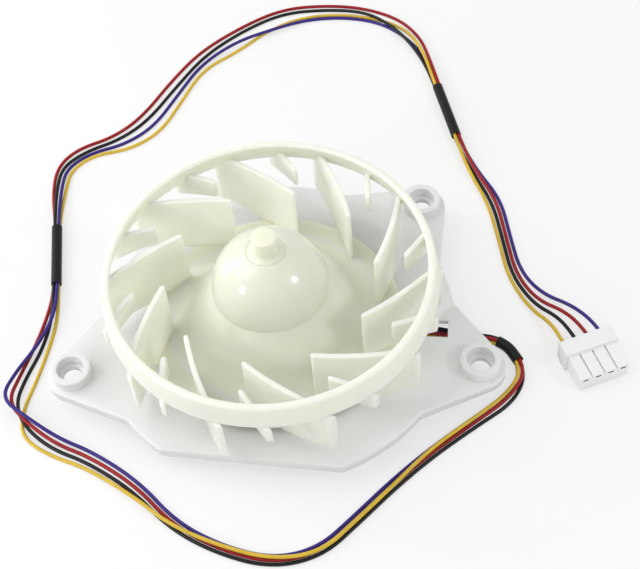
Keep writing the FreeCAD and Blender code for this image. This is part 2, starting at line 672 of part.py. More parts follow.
def build_capacitor():
    """A small can lying under the board, its crimped end towards the leads."""
    body = new_body("capacitor")
    section = new_sketch(body, "can_section", "XZ_Plane")
    corners = [
        ("-can_length / 2", "-can_radius - can_gap"), ("can_length / 2", "-can_radius - can_gap"),
        ("can_length / 2", "-can_gap"), ("can_length / 2 - can_bead", "-can_gap"),
        ("can_length / 2 - 1.5 * can_bead", "-can_gap - can_bead / 3"),
        ("can_length / 2 - 2 * can_bead", "-can_gap"), ("-can_length / 2", "-can_gap"),
    ]
    outline(section, corners)
    axis = new_sketch(body, "can_axis", "XZ_Plane", "0")
    line = axis.addGeometry(Part.LineSegment(FreeCAD.Vector(0, 0, 0), FreeCAD.Vector(1, 0, 0)), False)
    fix(axis, "DistanceX", line, 1, "-can_length / 2")
    fix(axis, "DistanceY", line, 1, "-can_radius - can_gap")
    fix(axis, "DistanceX", line, 2, "can_length / 2")
    fix(axis, "DistanceY", line, 2, "-can_radius - can_gap")
    doc.recompute()
    can = feature(body, "Revolution", "can", section)
    can.ReferenceAxis = (axis, ["Edge1"])
    can.Angle = 360
    legs = new_sketch(body, "leg_outline", height="-can_radius - can_gap - can_leg / 2")
    for side in ("-1", "1"):
        rectangle(legs, "can_length / 2 - 0.5", "can_length / 2 + can_reach",
                  f"{side} * can_leg_pitch / 2 - can_leg / 2", f"{side} * can_leg_pitch / 2 + can_leg / 2")
    pad(body, legs, "can_leg", "legs")
    rise = new_sketch(body, "leg_rise_outline", height="-can_radius - can_gap - can_leg / 2")
    for side in ("-1", "1"):
        rectangle(rise, "can_length / 2 + can_reach - can_leg", "can_length / 2 + can_reach",
                  f"{side} * can_leg_pitch / 2 - can_leg / 2", f"{side} * can_leg_pitch / 2 + can_leg / 2")
    pad(body, rise, "can_radius + can_gap + can_leg / 2", "leg_rises")
    body.Placement = on_board("can_circle", "can_angle")


def build_sensor():
    """The rotor position sensor, standing on its leads through a slot in the plate."""
    body = new_body("hall_sensor")
    case = new_sketch(body, "sensor_outline", height="plate_top + sensor_lift")
    rectangle(case, "-sensor_thick / 2", "sensor_thick / 2", "-sensor_width / 2", "sensor_width / 2")
    pad(body, case, "sensor_height", "sensor_case")
    leads = new_sketch(body, "sensor_leads_outline", height="board_top")
    for step in ("-1", "0", "1"):
        rectangle(leads, "-sensor_lead / 2", "sensor_lead / 2",
                  f"{step} * lead_pitch - sensor_lead / 2", f"{step} * lead_pitch + sensor_lead / 2")
    pad(body, leads, "plate_top + sensor_lift - board_top + 0.5", "sensor_leads")
    x, y = turned("sensor_circle", "0", "sensor_angle")
    turn = FreeCAD.Rotation(FreeCAD.Vector(0, 0, 1), value("sensor_angle"))
    body.Placement = FreeCAD.Placement(FreeCAD.Vector(value(x), value(y), 0), turn)


def build_socket():
    """The four-way socket that the wires leave, under the board's edge."""
    body = new_body("board_socket")
    case = new_sketch(body, "socket_outline", height="board_low - socket_height")
    rectangle(case, "socket_face - socket_length", "socket_face",
              "cable_middle - socket_width / 2", "cable_middle + socket_width / 2")
    pad(body, case, "socket_height", "socket_case")
    slot = new_sketch(body, "latch_outline", height="board_low - socket_height + 0.6")
    rectangle(slot, "socket_face - 0.7 * socket_length", "socket_face - 0.3 * socket_length",
              "cable_middle - socket_width / 4", "cable_middle + socket_width / 4")
    pocket(body, slot, "1", "latch_recess")


def plate_outline(sketch, kind):
    """The plate's outline, or the hollow inside its rim, with tangent sides to each ear."""
    radius = {"plate": "plate_radius", "rim": "rim_radius"}[kind]
    ear = {"plate": "ear_radius", "rim": "rim_ear"}[kind]
    touch = {"plate": "ear", "rim": "rim"}[kind]
    chord = {"plate": "chord_half_angle", "rim": "rim_chord_half_angle"}[kind]
    corners = []
    arcs = {}
    for angle in EARS:
        root = (f"{touch}_root_out", f"{touch}_root_side")
        tip = (f"{touch}_touch_out", f"{touch}_touch_side")
        arcs[len(corners) + 1] = (ear, 1)
        arcs[len(corners) + 3] = (radius, 1)
        for (out, side), sign in ((root, "-"), (tip, "-"), (tip, ""), (root, "")):
            corners.append(turned(out, f"{sign}{side}", angle))
    corners.append(turned(radius, "0", f"(chord_middle_angle - {chord})"))
    corners.append(turned(radius, "0", f"(chord_middle_angle + {chord})"))
    arcs[len(corners) - 1] = (radius, 1)
    outline(sketch, corners, arcs)


def build_plate():
    body = new_body("mounting_plate")
    shape = new_sketch(body, "plate_outline", height="rim_low")
    plate_outline(shape, "plate")
    slab = pad(body, shape, "plate_top - rim_low", "plate_slab")
    doc.recompute()
    inner_corner = value("plate_radius") - CORNER_DEPTH

    def upright_corner(edge):
        box = edge.BoundBox
        upright = max(box.XLength, box.YLength) < EDGE_TOLERANCE
        return upright and math.hypot(box.XMin, box.YMin) > inner_corner

    corners = round_edges(body, slab, upright_corner, "plate_corner", "plate_corners")
    doc.recompute()
    top = value("plate_top")
    edge = round_edges(body, corners, lambda item: at_level(item, top), "plate_edge", "plate_top_edge")
    doc.recompute()
    hollow = new_sketch(body, "rim_outline", height="plate_low")
    plate_outline(hollow, "rim")
    pocket(body, hollow, "plate_rim", "rim_hollow")
    bosses = new_sketch(body, "boss_outlines", height="plate_low + plate_thick / 2")
    circle(bosses, "0", "0", "hub_boss_radius")
    for angle in EARS:
        x, y = turned("ear_circle", "0", angle)
        circle(bosses, x, y, "ear_boss_radius")
    pad(body, bosses, "ear_boss_top - plate_low - plate_thick / 2", "bosses")
    cups = new_sketch(body, "cup_outlines", height="ear_boss_top")
    holes = new_sketch(body, "ear_hole_outlines", height="plate_top")
    for angle in EARS:
        x, y = turned("ear_circle", "0", angle)
        circle(cups, x, y, "ear_cup_radius")
        circle(holes, x, y, "ear_hole_radius")
    pocket(body, cups, "ear_boss_height", "ear_cups")
    pocket(body, holes, "plate_thick + 1", "ear_holes")
    under = new_sketch(body, "under_boss_outlines", height="board_top")
    for x, y in screw_places():
        circle(under, x, y, "post_radius")
    pad(body, under, "plate_low + plate_thick / 2 - board_top", "under_bosses")
    build_plate_ribs(body)
    pilots = new_sketch(body, "pilot_outlines", height="screw_tip")
    for x, y in screw_places():
        circle(pilots, x, y, "screw_radius")
    pocket(body, pilots, "screw_tip - board_top + 1", "screw_pilots")
    openings = new_sketch(body, "window_outline", height="plate_top")
    corners = [("-1", "-1"), ("1", "-1"), ("1", "1"), ("-1", "1")]
    outline(openings, [turned(f"window_circle + {out} * window_length / 2", f"{side} * window_width / 2",
                              "window_angle") for out, side in corners])
    outline(openings, [turned(f"sensor_circle + {out} * (sensor_thick / 2 + pin_clearance)",
                              f"{side} * (sensor_width / 2 + pin_clearance)", "sensor_angle")
                       for out, side in corners])
    for index in range(SIZES["pole_count"]):
        x, y = turned("pin_circle", "0", f"(pin_angle + {index} * 360 / pole_count)")
        circle(openings, x, y, "pin_radius + 3 * pin_clearance")
    pocket(body, openings, "plate_thick + plate_rim + 1", "plate_openings")
    bore = new_sketch(body, "tube_bore_outline", height="hub_boss_top")
    circle(bore, "0", "0", "tube_radius")
    pocket(body, bore, "hub_boss_height + plate_thick + 1", "tube_bore_hole")


def build_plate_ribs(body):
    """A stiffening rib under the plate from the cover to each ear."""
    ribs = new_sketch(body, "rib_outlines", height="rim_low")
    for angle in EARS:
        near, far, side = "cover_radius + rib_gap", "ear_circle - ear_boss_radius", "rib_width / 2"
        corners = [(near, f"-{side}"), (far, f"-{side}"), (far, side), (near, side)]
        outline(ribs, [turned(out, side, angle) for out, side in corners])
    pad(body, ribs, "plate_rim + plate_thick / 2", "ribs")


def build_screws():
    """Self-tapping screws, driven up through the cover and the board into the plate."""
    screws = []
    for index, (x, y) in enumerate(screw_places()):
        pieces = [
            solid("Cylinder", f"screw_head_{index}", x, y, "screw_head_sink",
                  {"Radius": "screw_head_radius", "Height": "screw_head_height"}),
            solid("Cylinder", f"screw_shank_{index}", x, y, "screw_seat",
                  {"Radius": "screw_radius", "Height": "screw_shank"}),
            solid("Cone", f"screw_point_{index}", x, y, "screw_tip - screw_point",
                  {"Radius1": "screw_radius", "Radius2": "screw_radius / 2", "Height": "screw_point"}),
        ]
        joined = doc.addObject("Part::MultiFuse", f"screw_{index}")
        joined.Shapes = pieces
        slots = []
        crossed = (("screw_drive", "screw_drive / 4"), ("screw_drive / 4", "screw_drive"))
        for turn, (length, width) in enumerate(crossed):
            slot = doc.addObject("Part::Box", f"drive_{index}_{turn}")
            for side, size in (("Length", length), ("Width", width), ("Height", "screw_drive_depth")):
                slot.setExpression(side, bound(size))
            slot.setExpression("Placement.Base.x", bound(f"{x} - ({length}) / 2"))
            slot.setExpression("Placement.Base.y", bound(f"{y} - ({width}) / 2"))
            slot.setExpression("Placement.Base.z", bound("screw_head_sink"))
            slots.append(slot)
        cross = doc.addObject("Part::MultiFuse", f"drive_{index}")
        cross.Shapes = slots
        screw = doc.addObject("Part::Cut", f"cover_screw_{index}")
        screw.Base = joined
        screw.Tool = cross
        screws.append(screw)
    group = doc.addObject("Part::Compound", "cover_screws")
    group.Links = screws
    group.Label = "cover_screws"
    PARTS.append(group)


def solid(kind, name, x, y, height, sizes):
    """A primitive standing on its height, bound to the sheet."""
    made = doc.addObject(f"Part::{kind}", name)
    for side, size in sizes.items():
        made.setExpression(side, bound(size))
    for axis, place in (("x", x), ("y", y), ("z", height)):
        made.setExpression(f"Placement.Base.{axis}", bound(place))
    return made


def build_bearing_tube():
    body = new_body("bearing_tube")
    section = new_sketch(body, "tube_section", "XZ_Plane")
    outline(section, [
        ("0", "tube_low"), ("tube_radius", "tube_low"), ("tube_radius", "hub_boss_top"),
        ("collar_radius", "hub_boss_top"), ("collar_radius", "collar_top"), ("tube_radius", "collar_top"),
        ("tube_radius", "tube_top"), ("tube_bore", "tube_top"), ("tube_bore", "tube_inside"),
        ("0", "tube_inside"),
    ])
    spin(body, section, "tube_body")


def build_bearing(name, low):
    """A sintered bush with chamfered mouths."""
    body = new_body(name)
    section = new_sketch(body, f"{name}_section", "XZ_Plane")
    inner = "shaft_radius + running_clearance"
    chamfer = "bearing_chamfer"
    high = f"{low} + bearing_length"
    outline(section, [
        (f"{inner} + {chamfer}", low), (f"tube_bore - {chamfer}", low), ("tube_bore", f"{low} + {chamfer}"),
        ("tube_bore", f"{high} - {chamfer}"), (f"tube_bore - {chamfer}", high),
        (f"{inner} + {chamfer}", high), (inner, f"{high} - {chamfer}"), (inner, f"{low} + {chamfer}"),
    ])
    spin(body, section, f"{name}_bush")


def build_small_rings():
    pad_body = new_body("thrust_pad")
    ring_profile(pad_body, "thrust_disc", "0", "tube_bore - pin_clearance", "tube_inside",
                 "tube_inside + thrust_thick")
    washer = new_body("thrust_washer")
    ring_profile(washer, "washer_ring", "shaft_radius + washer_clearance", "washer_radius",
                 "washer_low", "tube_top")
    clip = new_body("retaining_ring")
    ring_profile(clip, "clip_ring", "shaft_groove", "ring_radius", "ring_low_face", "ring_top_face")


def build_shaft():
    body = new_body("shaft")
    section = new_sketch(body, "shaft_section", "XZ_Plane")
    outline(section, [
        ("0", "shaft_low"), ("shaft_radius - shaft_chamfer", "shaft_low"),
        ("shaft_radius", "shaft_low + shaft_chamfer"), ("shaft_radius", "ring_low_face"),
        ("shaft_groove", "ring_low_face"), ("shaft_groove", "ring_top_face"),
        ("shaft_radius", "ring_top_face"), ("shaft_radius", "shaft_top - shaft_chamfer"),
        ("shaft_radius - shaft_chamfer", "shaft_top"), ("0", "shaft_top"),
    ])
    spin(body, section, "shaft_pin")


def pole(sketch, root, inner, outer, width, spread):
    """A pole's neck with its curved shoe, pointing along +X."""
    neck = f"sqrt(({inner}) ^ 2 - ({width}) ^ 2 / 4)"
    half = f"({width}) / 2"
    corners = [
        (root, f"-{half}"), (neck, f"-{half}"),
        (f"({inner}) * cos({spread})", f"-({inner}) * sin({spread})"),
        (f"({outer}) * cos({spread})", f"-({outer}) * sin({spread})"),
        (f"({outer}) * cos({spread})", f"({outer}) * sin({spread})"),
        (f"({inner}) * cos({spread})", f"({inner}) * sin({spread})"),
        (neck, half), (root, half),
    ]
    outline(sketch, corners, {1: (inner, -1), 3: (outer, 1), 5: (inner, -1)})


def build_core():
    """The laminated stack: a ring on the bearing tube with four shod poles."""
    body = new_body("stator_core")
    ring = new_sketch(body, "core_ring_outline", height="core_low")
    circle(ring, "0", "0", "core_hub")
    circle(ring, "0", "0", "tube_radius")
    pad(body, ring, "core_height", "core_ring")
    arm = new_sketch(body, "pole_outline", height="core_low")
    pole(arm, "core_hub - 1", "core_radius - pole_shoe", "core_radius", "pole_width", "shoe_half_angle")
    arms = pad(body, arm, "core_height", "pole")
    around(body, [arms], "pole_count", "poles")


def build_insulator(name, low, flange_low, with_pins):
    """A moulded end plate that the coils are wound over."""
    body = new_body(name)
    ring = new_sketch(body, f"{name}_ring_outline", height=low)
    circle(ring, "0", "0", "core_hub")
    circle(ring, "0", "0", "tube_radius")
    pad(body, ring, "insulator_thick", f"{name}_ring")
    arm = new_sketch(body, f"{name}_arm_outline", height=low)
    inner = "core_radius - pole_shoe"
    outer = "core_radius - pole_shoe + insulator_lip"
    pole(arm, "core_hub - 1", inner, outer, "pole_width", "(shoe_half_angle - 2)")
    arms = pad(body, arm, "insulator_thick", f"{name}_arm")
    lip = new_sketch(body, f"{name}_lip_outline", height=flange_low)
    spread = "(shoe_half_angle - 6)"
    outline(lip, [
        (f"({inner}) * cos({spread})", f"-({inner}) * sin({spread})"),
        (f"({outer}) * cos({spread})", f"-({outer}) * sin({spread})"),
        (f"({outer}) * cos({spread})", f"({outer}) * sin({spread})"),
        (f"({inner}) * cos({spread})", f"({inner}) * sin({spread})"),
    ], {1: (outer, 1), 3: (inner, -1)})
    lips = pad(body, lip, "insulator_thick + lip_height", f"{name}_lip")
    around(body, [arms, lips], "pole_count", f"{name}_arms")
    if not with_pins:
        return
    ear = new_sketch(body, "pin_ear_outline", height=low)
    corners = [("core_hub - 1", "-pin_ear"), ("pin_circle + pin_ear", "-pin_ear"),
               ("pin_circle + pin_ear", "pin_ear"), ("core_hub - 1", "pin_ear")]
    outline(ear, [turned(out, side, "pin_angle") for out, side in corners])
    ears = pad(body, ear, "insulator_thick", "pin_ear_pad")
    around(body, [ears], "pole_count", "pin_ears")
    hole = new_sketch(body, "pin_seat_outline", height=f"{low} + insulator_thick")
    x, y = turned("pin_circle", "0", "pin_angle")
    circle(hole, x, y, "pin_radius")
    seats = pocket(body, hole, "insulator_thick + 1", "pin_seat")
    around(body, [seats], "pole_count", "pin_seats")


def build_pins():
    """The winding posts that carry the coil ends down to the board."""
    body = new_body("winding_pins")
    end = new_sketch(body, "pin_outline", height="board_low - pin_tail")
    x, y = turned("pin_circle", "0", "pin_angle")
    circle(end, x, y, "pin_radius")
    pins = pad(body, end, "core_low - board_low + pin_tail", "pin")
    around(body, [pins], "pole_count", "pins")


def build_coils():
    """One winding round each pole's neck, over both end plates."""
    body = new_body("coil_windings")
    section = new_sketch(body, "coil_section", "YZ_Plane", "coil_inner")
    half = "pole_width / 2 + coil_clearance"
    low = "collar_top - coil_clearance"
    high = "stack_top + coil_clearance"
    rectangle(section, f"-({half})", half, low, high)
    rounded_rectangle(section, f"-({half}) - coil_thick", f"{half} + coil_thick", f"{low} - coil_thick",
                      f"{high} + coil_thick", "coil_corner")
    coil = pad(body, section, "coil_outer - coil_inner", "coil")
    around(body, [coil], "pole_count", "coils")


def build_yoke():
    """The steel cup that closes the magnet's circuit and carries it on the bushing."""
    body = new_body("rotor_yoke")
    section = new_sketch(body, "yoke_section", "XZ_Plane")
    outline(section, [
        ("yoke_bore", "yoke_low"), ("yoke_radius", "yoke_low"), ("yoke_radius", "yoke_top - yoke_corner"),
        ("yoke_radius - yoke_corner", "yoke_top"), ("bushing_radius", "yoke_top"),
        ("bushing_radius", "yoke_inside"), ("yoke_bore", "yoke_inside"),
    ], {2: ("yoke_corner", 1)})
    spin(body, section, "yoke_cup")


def build_magnet():
    body = new_body("rotor_magnet")
    ring_profile(body, "magnet_ring", "magnet_radius", "yoke_bore", "magnet_low",
                 "magnet_low + magnet_height")


def build_bushing():
    """The brass bush on the shaft, which joins the yoke and the impeller to it."""
    body = new_body("shaft_bushing")
    section = new_sketch(body, "bushing_section", "XZ_Plane")
    outline(section, [
        ("shaft_radius", "nose_low"), ("nose_radius", "nose_low"), ("nose_radius", "flange_low"),
        ("bushing_flange_radius", "flange_low"), ("bushing_flange_radius", "yoke_inside"),
        ("bushing_radius", "yoke_inside"), ("bushing_radius", "shaft_top"), ("shaft_radius", "shaft_top"),
    ])
    spin(body, section, "bushing_body")


def build_impeller():
    body = new_body("impeller")
    section = new_sketch(body, "hub_section", "XZ_Plane")
    outline(section, [
        ("0", "shaft_top"), ("bushing_radius", "shaft_top"), ("bushing_radius", "yoke_top"),
        ("boss_radius", "yoke_top"), ("boss_radius", "boss_top"), ("dome_bore", "dome_centre"),
        ("dome_bore", "under_top"), ("under_start", "under_rise"), ("curve_end", "disc_low"),
        ("disc_radius", "disc_low"), ("disc_radius", "disc_top"), ("curve_end", "disc_top"),
        ("curve_start", "curve_rise"), ("dome_radius", "dome_centre"), ("groove_out", "groove_out_top"),
        ("groove_out", "groove_low"), ("groove_in", "groove_low"), ("groove_in", "groove_in_top"),
        ("peg_radius", "peg_low"), ("peg_radius", "peg_top - peg_edge"), ("peg_radius - peg_edge", "peg_top"),
        ("0", "peg_top"),
    ], {
        4: ("dome_bore", -1), 7: ("under_curve", 1), 11: ("hub_curve", -1), 13: ("dome_radius", 1),
        17: ("dome_radius", 1), 19: ("peg_edge", 1),
    })
    spin(body, section, "hub")
    blades(body, "short", "short_start", "short_blade_angle", "short_blade_low", [
        ("blade_end", "short_blade_low"), ("short_blade_tip - 1", "short_blade_rise"),
        ("short_blade_tip - 1", "short_blade_low - 1"), ("trim_out", "short_blade_low - 1"),
    ])
    blades(body, "long", "0", "blade_tip_angle", "blade_low", [
        ("blade_end", "blade_end_low"), ("blade_foot", "blade_low"),
        ("blade_foot", "blade_low - 1"), ("trim_out", "blade_low - 1"),
    ])
    ring = new_sketch(body, "ring_section", "XZ_Plane")
    outline(ring, [
        ("ring_foot_radius - ring_foot_wall", "ring_low"), ("ring_foot_radius", "ring_low"),
        ("ring_top_radius", "ring_top - ring_edge"), ("ring_top_radius - ring_edge", "ring_top"),
        ("ring_top_radius - ring_wall + ring_edge", "ring_top"),
        ("ring_top_radius - ring_wall", "ring_top - ring_edge"),
    ], {2: ("ring_edge", 1), 4: ("ring_edge", 1)})
    spin(body, ring, "ring")


def blades(body, kind, start, angle, low, underside):
    """A ring of upright blades: undersides sloped, outer ends cut round, tops kept in the ring."""
    shape = new_sketch(body, f"{kind}_blade_outline", height=low)
    blade_outline(shape, start, angle)
    blade = pad(body, shape, f"blade_top - ({low})", f"{kind}_blade")
    around(body, [blade], "blade_count", f"{kind}_blades")
    trim = new_sketch(body, f"{kind}_trim_section", "XZ_Plane")
    top = [("trim_out", "trim_top"), ("blade_rim", "trim_top"), ("blade_rim", "ring_low"),
           ("blade_end", "ring_low")]
    outline(trim, underside + top)
    spin(body, trim, f"{kind}_trim", "Groove")


def blade_outline(sketch, start, angle):
    """A slightly bowed blade from a distance along its chord out into the ring."""
    corners = []
    for along, side in ((start, -1), ("blade_chord", -1), ("blade_chord", 1), (start, 1)):
        half = f"{side} * blade_thick / 2"
        out = f"blade_tip + ({along}) * cos(blade_lean_angle) - {half} * sin(blade_lean_angle)"
        across = f"({along}) * sin(blade_lean_angle) + {half} * cos(blade_lean_angle)"
        corners.append(turned(out, across, angle))
    outline(sketch, corners, {0: ("blade_curve", 1), 2: ("blade_curve", -1), 3: ("0.6 * blade_thick", 1)})


def build_wires():
    """Each wire as straight runs joined by tangent arcs, swept with its round section."""
    radius = value("wire_radius")
    for name, points in ROUTES.items():
        path, radii = route_path(points)
        print(name, "arc radii", [round(item, 1) for item in radii])
        tube = swept(path, points[1], points[0], [radius])
        wire = doc.addObject("Part::Feature", name)
        wire.Shape = tube
        wire.Label = name
        PARTS.append(wire)
        share = tube.Volume / (math.pi * radius ** 2 * path.Length)
        print(name, "length", round(path.Length, 1), "volume share", round(share, 4))


def route_path(points):
    """A path whose arcs are as large as their two runs allow."""
    corners = [FreeCAD.Vector(*point) for point in points]
    edges = []
    radii = []
    last = corners[0]
    for before, corner, after in zip(corners, corners[1:], corners[2:]):
        arrive = corner - before
        leave = after - corner
        reach = ARC_SHARE * min(arrive.Length, leave.Length)
        turn = arrive.getAngle(leave)
        arrive.normalize()
        leave.normalize()
        start = corner - arrive * reach
        end = corner + leave * reach
        radius = reach / math.tan(turn / 2)
        inward = (leave - arrive).normalize()
        middle = corner + inward * (radius / math.cos(turn / 2) - radius)
        edges.append(Part.LineSegment(last, start).toShape())
        edges.append(Part.Arc(start, middle, end).toShape())
        radii.append(radius)
        last = end
    edges.append(Part.LineSegment(last, corners[-1]).toShape())
    return Part.Wire(edges), radii


def swept(path, ahead, begin, radii):
    """Sweep a disc, or a ring where two radii are given, along a path."""
    way = FreeCAD.Vector(*ahead) - FreeCAD.Vector(*begin)
    tubes = []
    for radius in radii:
        disc = Part.Wire(Part.makeCircle(radius, FreeCAD.Vector(*begin), way))
        tubes.append(path.makePipeShell([disc], True, True))
    return tubes[0] if len(tubes) == 1 else tubes[0].cut(tubes[1])


def build_bent_sleeve():
    """The shrink sleeve at the plate's edge, which follows the bundle round its first bend."""
    path, _ = route_path(BEND)
    arc = path.Edges[1]
    first = arc.FirstParameter + BEND_START * (arc.LastParameter - arc.FirstParameter)
    bend = arc.Curve.toShape(first, arc.LastParameter)
    corner, last = FreeCAD.Vector(*BEND[1]), FreeCAD.Vector(*BEND[2])
    end = corner + (last - corner) * BEND_END
    line = Part.LineSegment(bend.valueAt(bend.LastParameter), end).toShape()
    begin = bend.valueAt(first)
    ahead = begin + bend.tangentAt(first)
    radii = [value("sleeve_outer"), value("sleeve_inner")]
    sleeve = doc.addObject("Part::Feature", "sleeve_exit")
    sleeve.Shape = swept(Part.Wire([bend, line]), ahead, begin, radii)
    sleeve.Label = "sleeve_exit"
    PARTS.append(sleeve)


def build_straight_sleeve(name, start, end):
    """A shrink sleeve round the four wires where they run straight."""
    body = new_body(name)
    section = new_sketch(body, f"{name}_section", "XZ_Plane")
    way = FreeCAD.Vector(*end) - FreeCAD.Vector(*start)
    rectangle(section, "sleeve_inner", "sleeve_outer", "0", str(round(way.Length, 3)))
    spin(body, section, f"{name}_tube")
    base = FreeCAD.Vector(start[0], start[1], value("sleeve_height"))
    body.Placement = FreeCAD.Placement(base, FreeCAD.Rotation(FreeCAD.Vector(0, 0, 1), way))


def plug_placement():
    base = FreeCAD.Vector(value("plug_x"), value("plug_y"), 0)
    return FreeCAD.Placement(base, FreeCAD.Rotation(FreeCAD.Vector(0, 0, 1), value("plug_turn_angle")))


def build_housing():
    """The four-way plug: a flange at the wires and four joined towers that mate."""
    body = new_body("connector_housing")
    side = new_sketch(body, "flange_section", "YZ_Plane", "-flange_width / 2")
    outline(side, [
        ("0", "flange_slope"), ("0", "flange_height - plug_edge"), ("-plug_edge", "flange_height"),
        ("-flange_length + plug_edge", "flange_height"), ("-flange_length", "flange_height - plug_edge"),
        ("-flange_length", "0"), ("-2 * flange_slope", "0"),
    ], {1: ("plug_edge", 1), 3: ("plug_edge", 1)})
    pad(body, side, "flange_width", "flange")
    web = new_sketch(body, "web_outline", height="tower_low")
    rectangle(web, "-1.5 * pin_pitch", "1.5 * pin_pitch", "-plug_length", "-flange_length + 1")
    pad(body, web, "tower_web - tower_low", "web")
    tower = new_sketch(body, "tower_section", "XZ_Plane", "flange_length - 1")
    rounded_rectangle(tower, "-1.5 * pin_pitch - tower_width / 2", "-1.5 * pin_pitch + tower_width / 2",
                      "tower_low", "tower_height", "plug_edge")
    towers = pad(body, tower, "tower_length + 1", "tower")
    row = in_row(body, [towers], "pin_pitch", "pin_ways", "towers")
    cavity = new_sketch(body, "cavity_section", "XZ_Plane", "plug_length - cavity_end")
    rectangle(cavity, "-1.5 * pin_pitch - cavity_width / 2", "-1.5 * pin_pitch + cavity_width / 2",
              "cavity_low", "cavity_low + cavity_height")
    cavities = pocket(body, cavity, "plug_length", "cavity")
    mouth = new_sketch(body, "mouth_section", "XZ_Plane", "plug_length + 1")
    rectangle(mouth, "-1.5 * pin_pitch - mouth_width / 2", "-1.5 * pin_pitch + mouth_width / 2",
              "mouth_low", "mouth_low + mouth_height")
    mouths = pocket(body, mouth, "cavity_end + 2", "mouth")
    in_row(body, [cavities, mouths], "pin_pitch", "pin_ways", "cavities")
    body.Placement = plug_placement()


def build_terminals():
    """The crimped contacts: a spring box in each tower and a barrel that holds the wire."""
    body = new_body("connector_terminals")
    box = new_sketch(body, "contact_section", "XZ_Plane", "terminal_barrel_end")
    left = "-1.5 * pin_pitch - contact_width / 2"
    right = "-1.5 * pin_pitch + contact_width / 2"
    low = "cavity_middle - contact_height / 2"
    high = "cavity_middle + contact_height / 2"
    wall = "contact_wall"
    rectangle(box, left, right, low, high)
    rectangle(box, f"{left} + {wall}", f"{right} - {wall}", f"{low} + {wall}", f"{high} - {wall}")
    boxes = pad(body, box, "plug_length - cavity_end - contact_gap - terminal_barrel_end", "contact_box")
    barrel = new_sketch(body, "barrel_section", "XZ_Plane", "wire_seat")
    circle(barrel, "-1.5 * pin_pitch", "cavity_middle", "barrel_radius")
    barrels = pad(body, barrel, "terminal_barrel_end - wire_seat", "barrel")
    in_row(body, [boxes, barrels], "pin_pitch", "pin_ways", "contacts")
    body.Placement = plug_placement()


def check_and_export():
    """Refuse a failed object, an empty cut or an invalid solid, then write the parts."""
    doc.recompute()
    for item in doc.Objects:
        if "Invalid" in item.State or "Error" in item.State:
            raise RuntimeError(f"{item.Name} failed: {item.State}")
        if item.TypeId in ("PartDesign::Pocket", "PartDesign::Groove"):
            if item.Shape.Volume > item.BaseFeature.Shape.Volume - LEAST_CUT:
                raise RuntimeError(f"{item.Name} cuts nothing")
    os.makedirs("parts", exist_ok=True)
    for item in PARTS:
        if item.Shape.isNull() or not item.Shape.isValid():
            raise RuntimeError(f"{item.Label} has no valid shape")
        item.Shape.exportStep(f"parts/{item.Label}.step")
        print(item.Label, "solids", len(item.Shape.Solids), "volume", round(item.Shape.Volume, 1))


fill_sheet()
build_cover()
build_board()
build_chip()
build_capacitor()
build_sensor()
build_socket()
build_plate()
build_screws()
build_bearing_tube()
build_bearing("lower_bearing", "lower_bearing_low")
build_bearing("upper_bearing", "upper_bearing_low")
build_small_rings()
build_shaft()
build_core()
build_insulator("lower_insulator", "collar_top", "collar_top - lip_height", True)
build_insulator("upper_insulator", "core_top", "core_top", False)
build_pins()
build_coils()
build_yoke()
build_magnet()
build_bushing()
build_impeller()
build_wires()
build_bent_sleeve()
build_straight_sleeve("sleeve_left", *SLEEVE_LEFT)
build_straight_sleeve("sleeve_top", *SLEEVE_TOP)
build_housing()
build_terminals()
check_and_export()
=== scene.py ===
import math

import bmesh
import bpy
from bpy.props import FloatProperty, FloatVectorProperty, IntProperty, PointerProperty
from mathutils import Matrix, Vector


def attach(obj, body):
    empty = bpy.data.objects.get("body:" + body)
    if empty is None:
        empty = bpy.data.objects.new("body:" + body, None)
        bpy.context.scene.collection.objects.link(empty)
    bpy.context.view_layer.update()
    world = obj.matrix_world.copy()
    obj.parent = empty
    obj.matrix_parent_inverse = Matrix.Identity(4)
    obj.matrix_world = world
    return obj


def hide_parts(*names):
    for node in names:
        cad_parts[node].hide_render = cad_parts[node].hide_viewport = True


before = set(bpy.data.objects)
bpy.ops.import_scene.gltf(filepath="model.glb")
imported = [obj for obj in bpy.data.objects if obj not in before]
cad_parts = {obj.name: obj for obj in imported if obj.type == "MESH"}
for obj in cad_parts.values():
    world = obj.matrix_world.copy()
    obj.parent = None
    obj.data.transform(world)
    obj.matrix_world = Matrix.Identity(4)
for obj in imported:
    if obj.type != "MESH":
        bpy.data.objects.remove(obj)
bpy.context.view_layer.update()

bl_info = {
    "name": "Evaporator Fan Motor",
    "version": (1, 0, 0),
    "blender": (4, 5, 0),
    "location": "3D View > Sidebar > Fan Motor",
    "description": "Dresses a small fan motor with its impeller, mounting plate and wire lead",
    "category": "Object",
}

MM = 0.001

# The photograph's viewpoint: where the camera stands, and its right and up directions.
CAMERA_PLACE = (0.0160, -0.27107, 0.39728)
CAMERA_RIGHT = (0.99461, -0.08341, -0.06154)
CAMERA_UP = (0.10366, 0.80036, 0.59051)
CAMERA_LENS = 78.19
# Where every lamp points, inside the impeller's hub.
LAMP_TARGET = (0.0, 0.0, 0.03)
# Each lamp's share of the ceiling light's power, its width and depth, and its place, in metres.
LAMPS = {
    "ceiling_light": (1.0, 0.6, 0.6, (-0.42, 0.12, 0.62)),
    "window_light": (0.6, 0.12, 0.40, (-0.55, 0.25, 0.20)),
    "left_light": (0.3, 0.1, 0.1, (-0.49, -0.25, 0.285)),
    "right_light": (0.3, 0.1, 0.1, (0.45, -0.21, 0.37)),
}
# How far the floor reaches from the middle, in metres.
FLOOR_REACH = 6

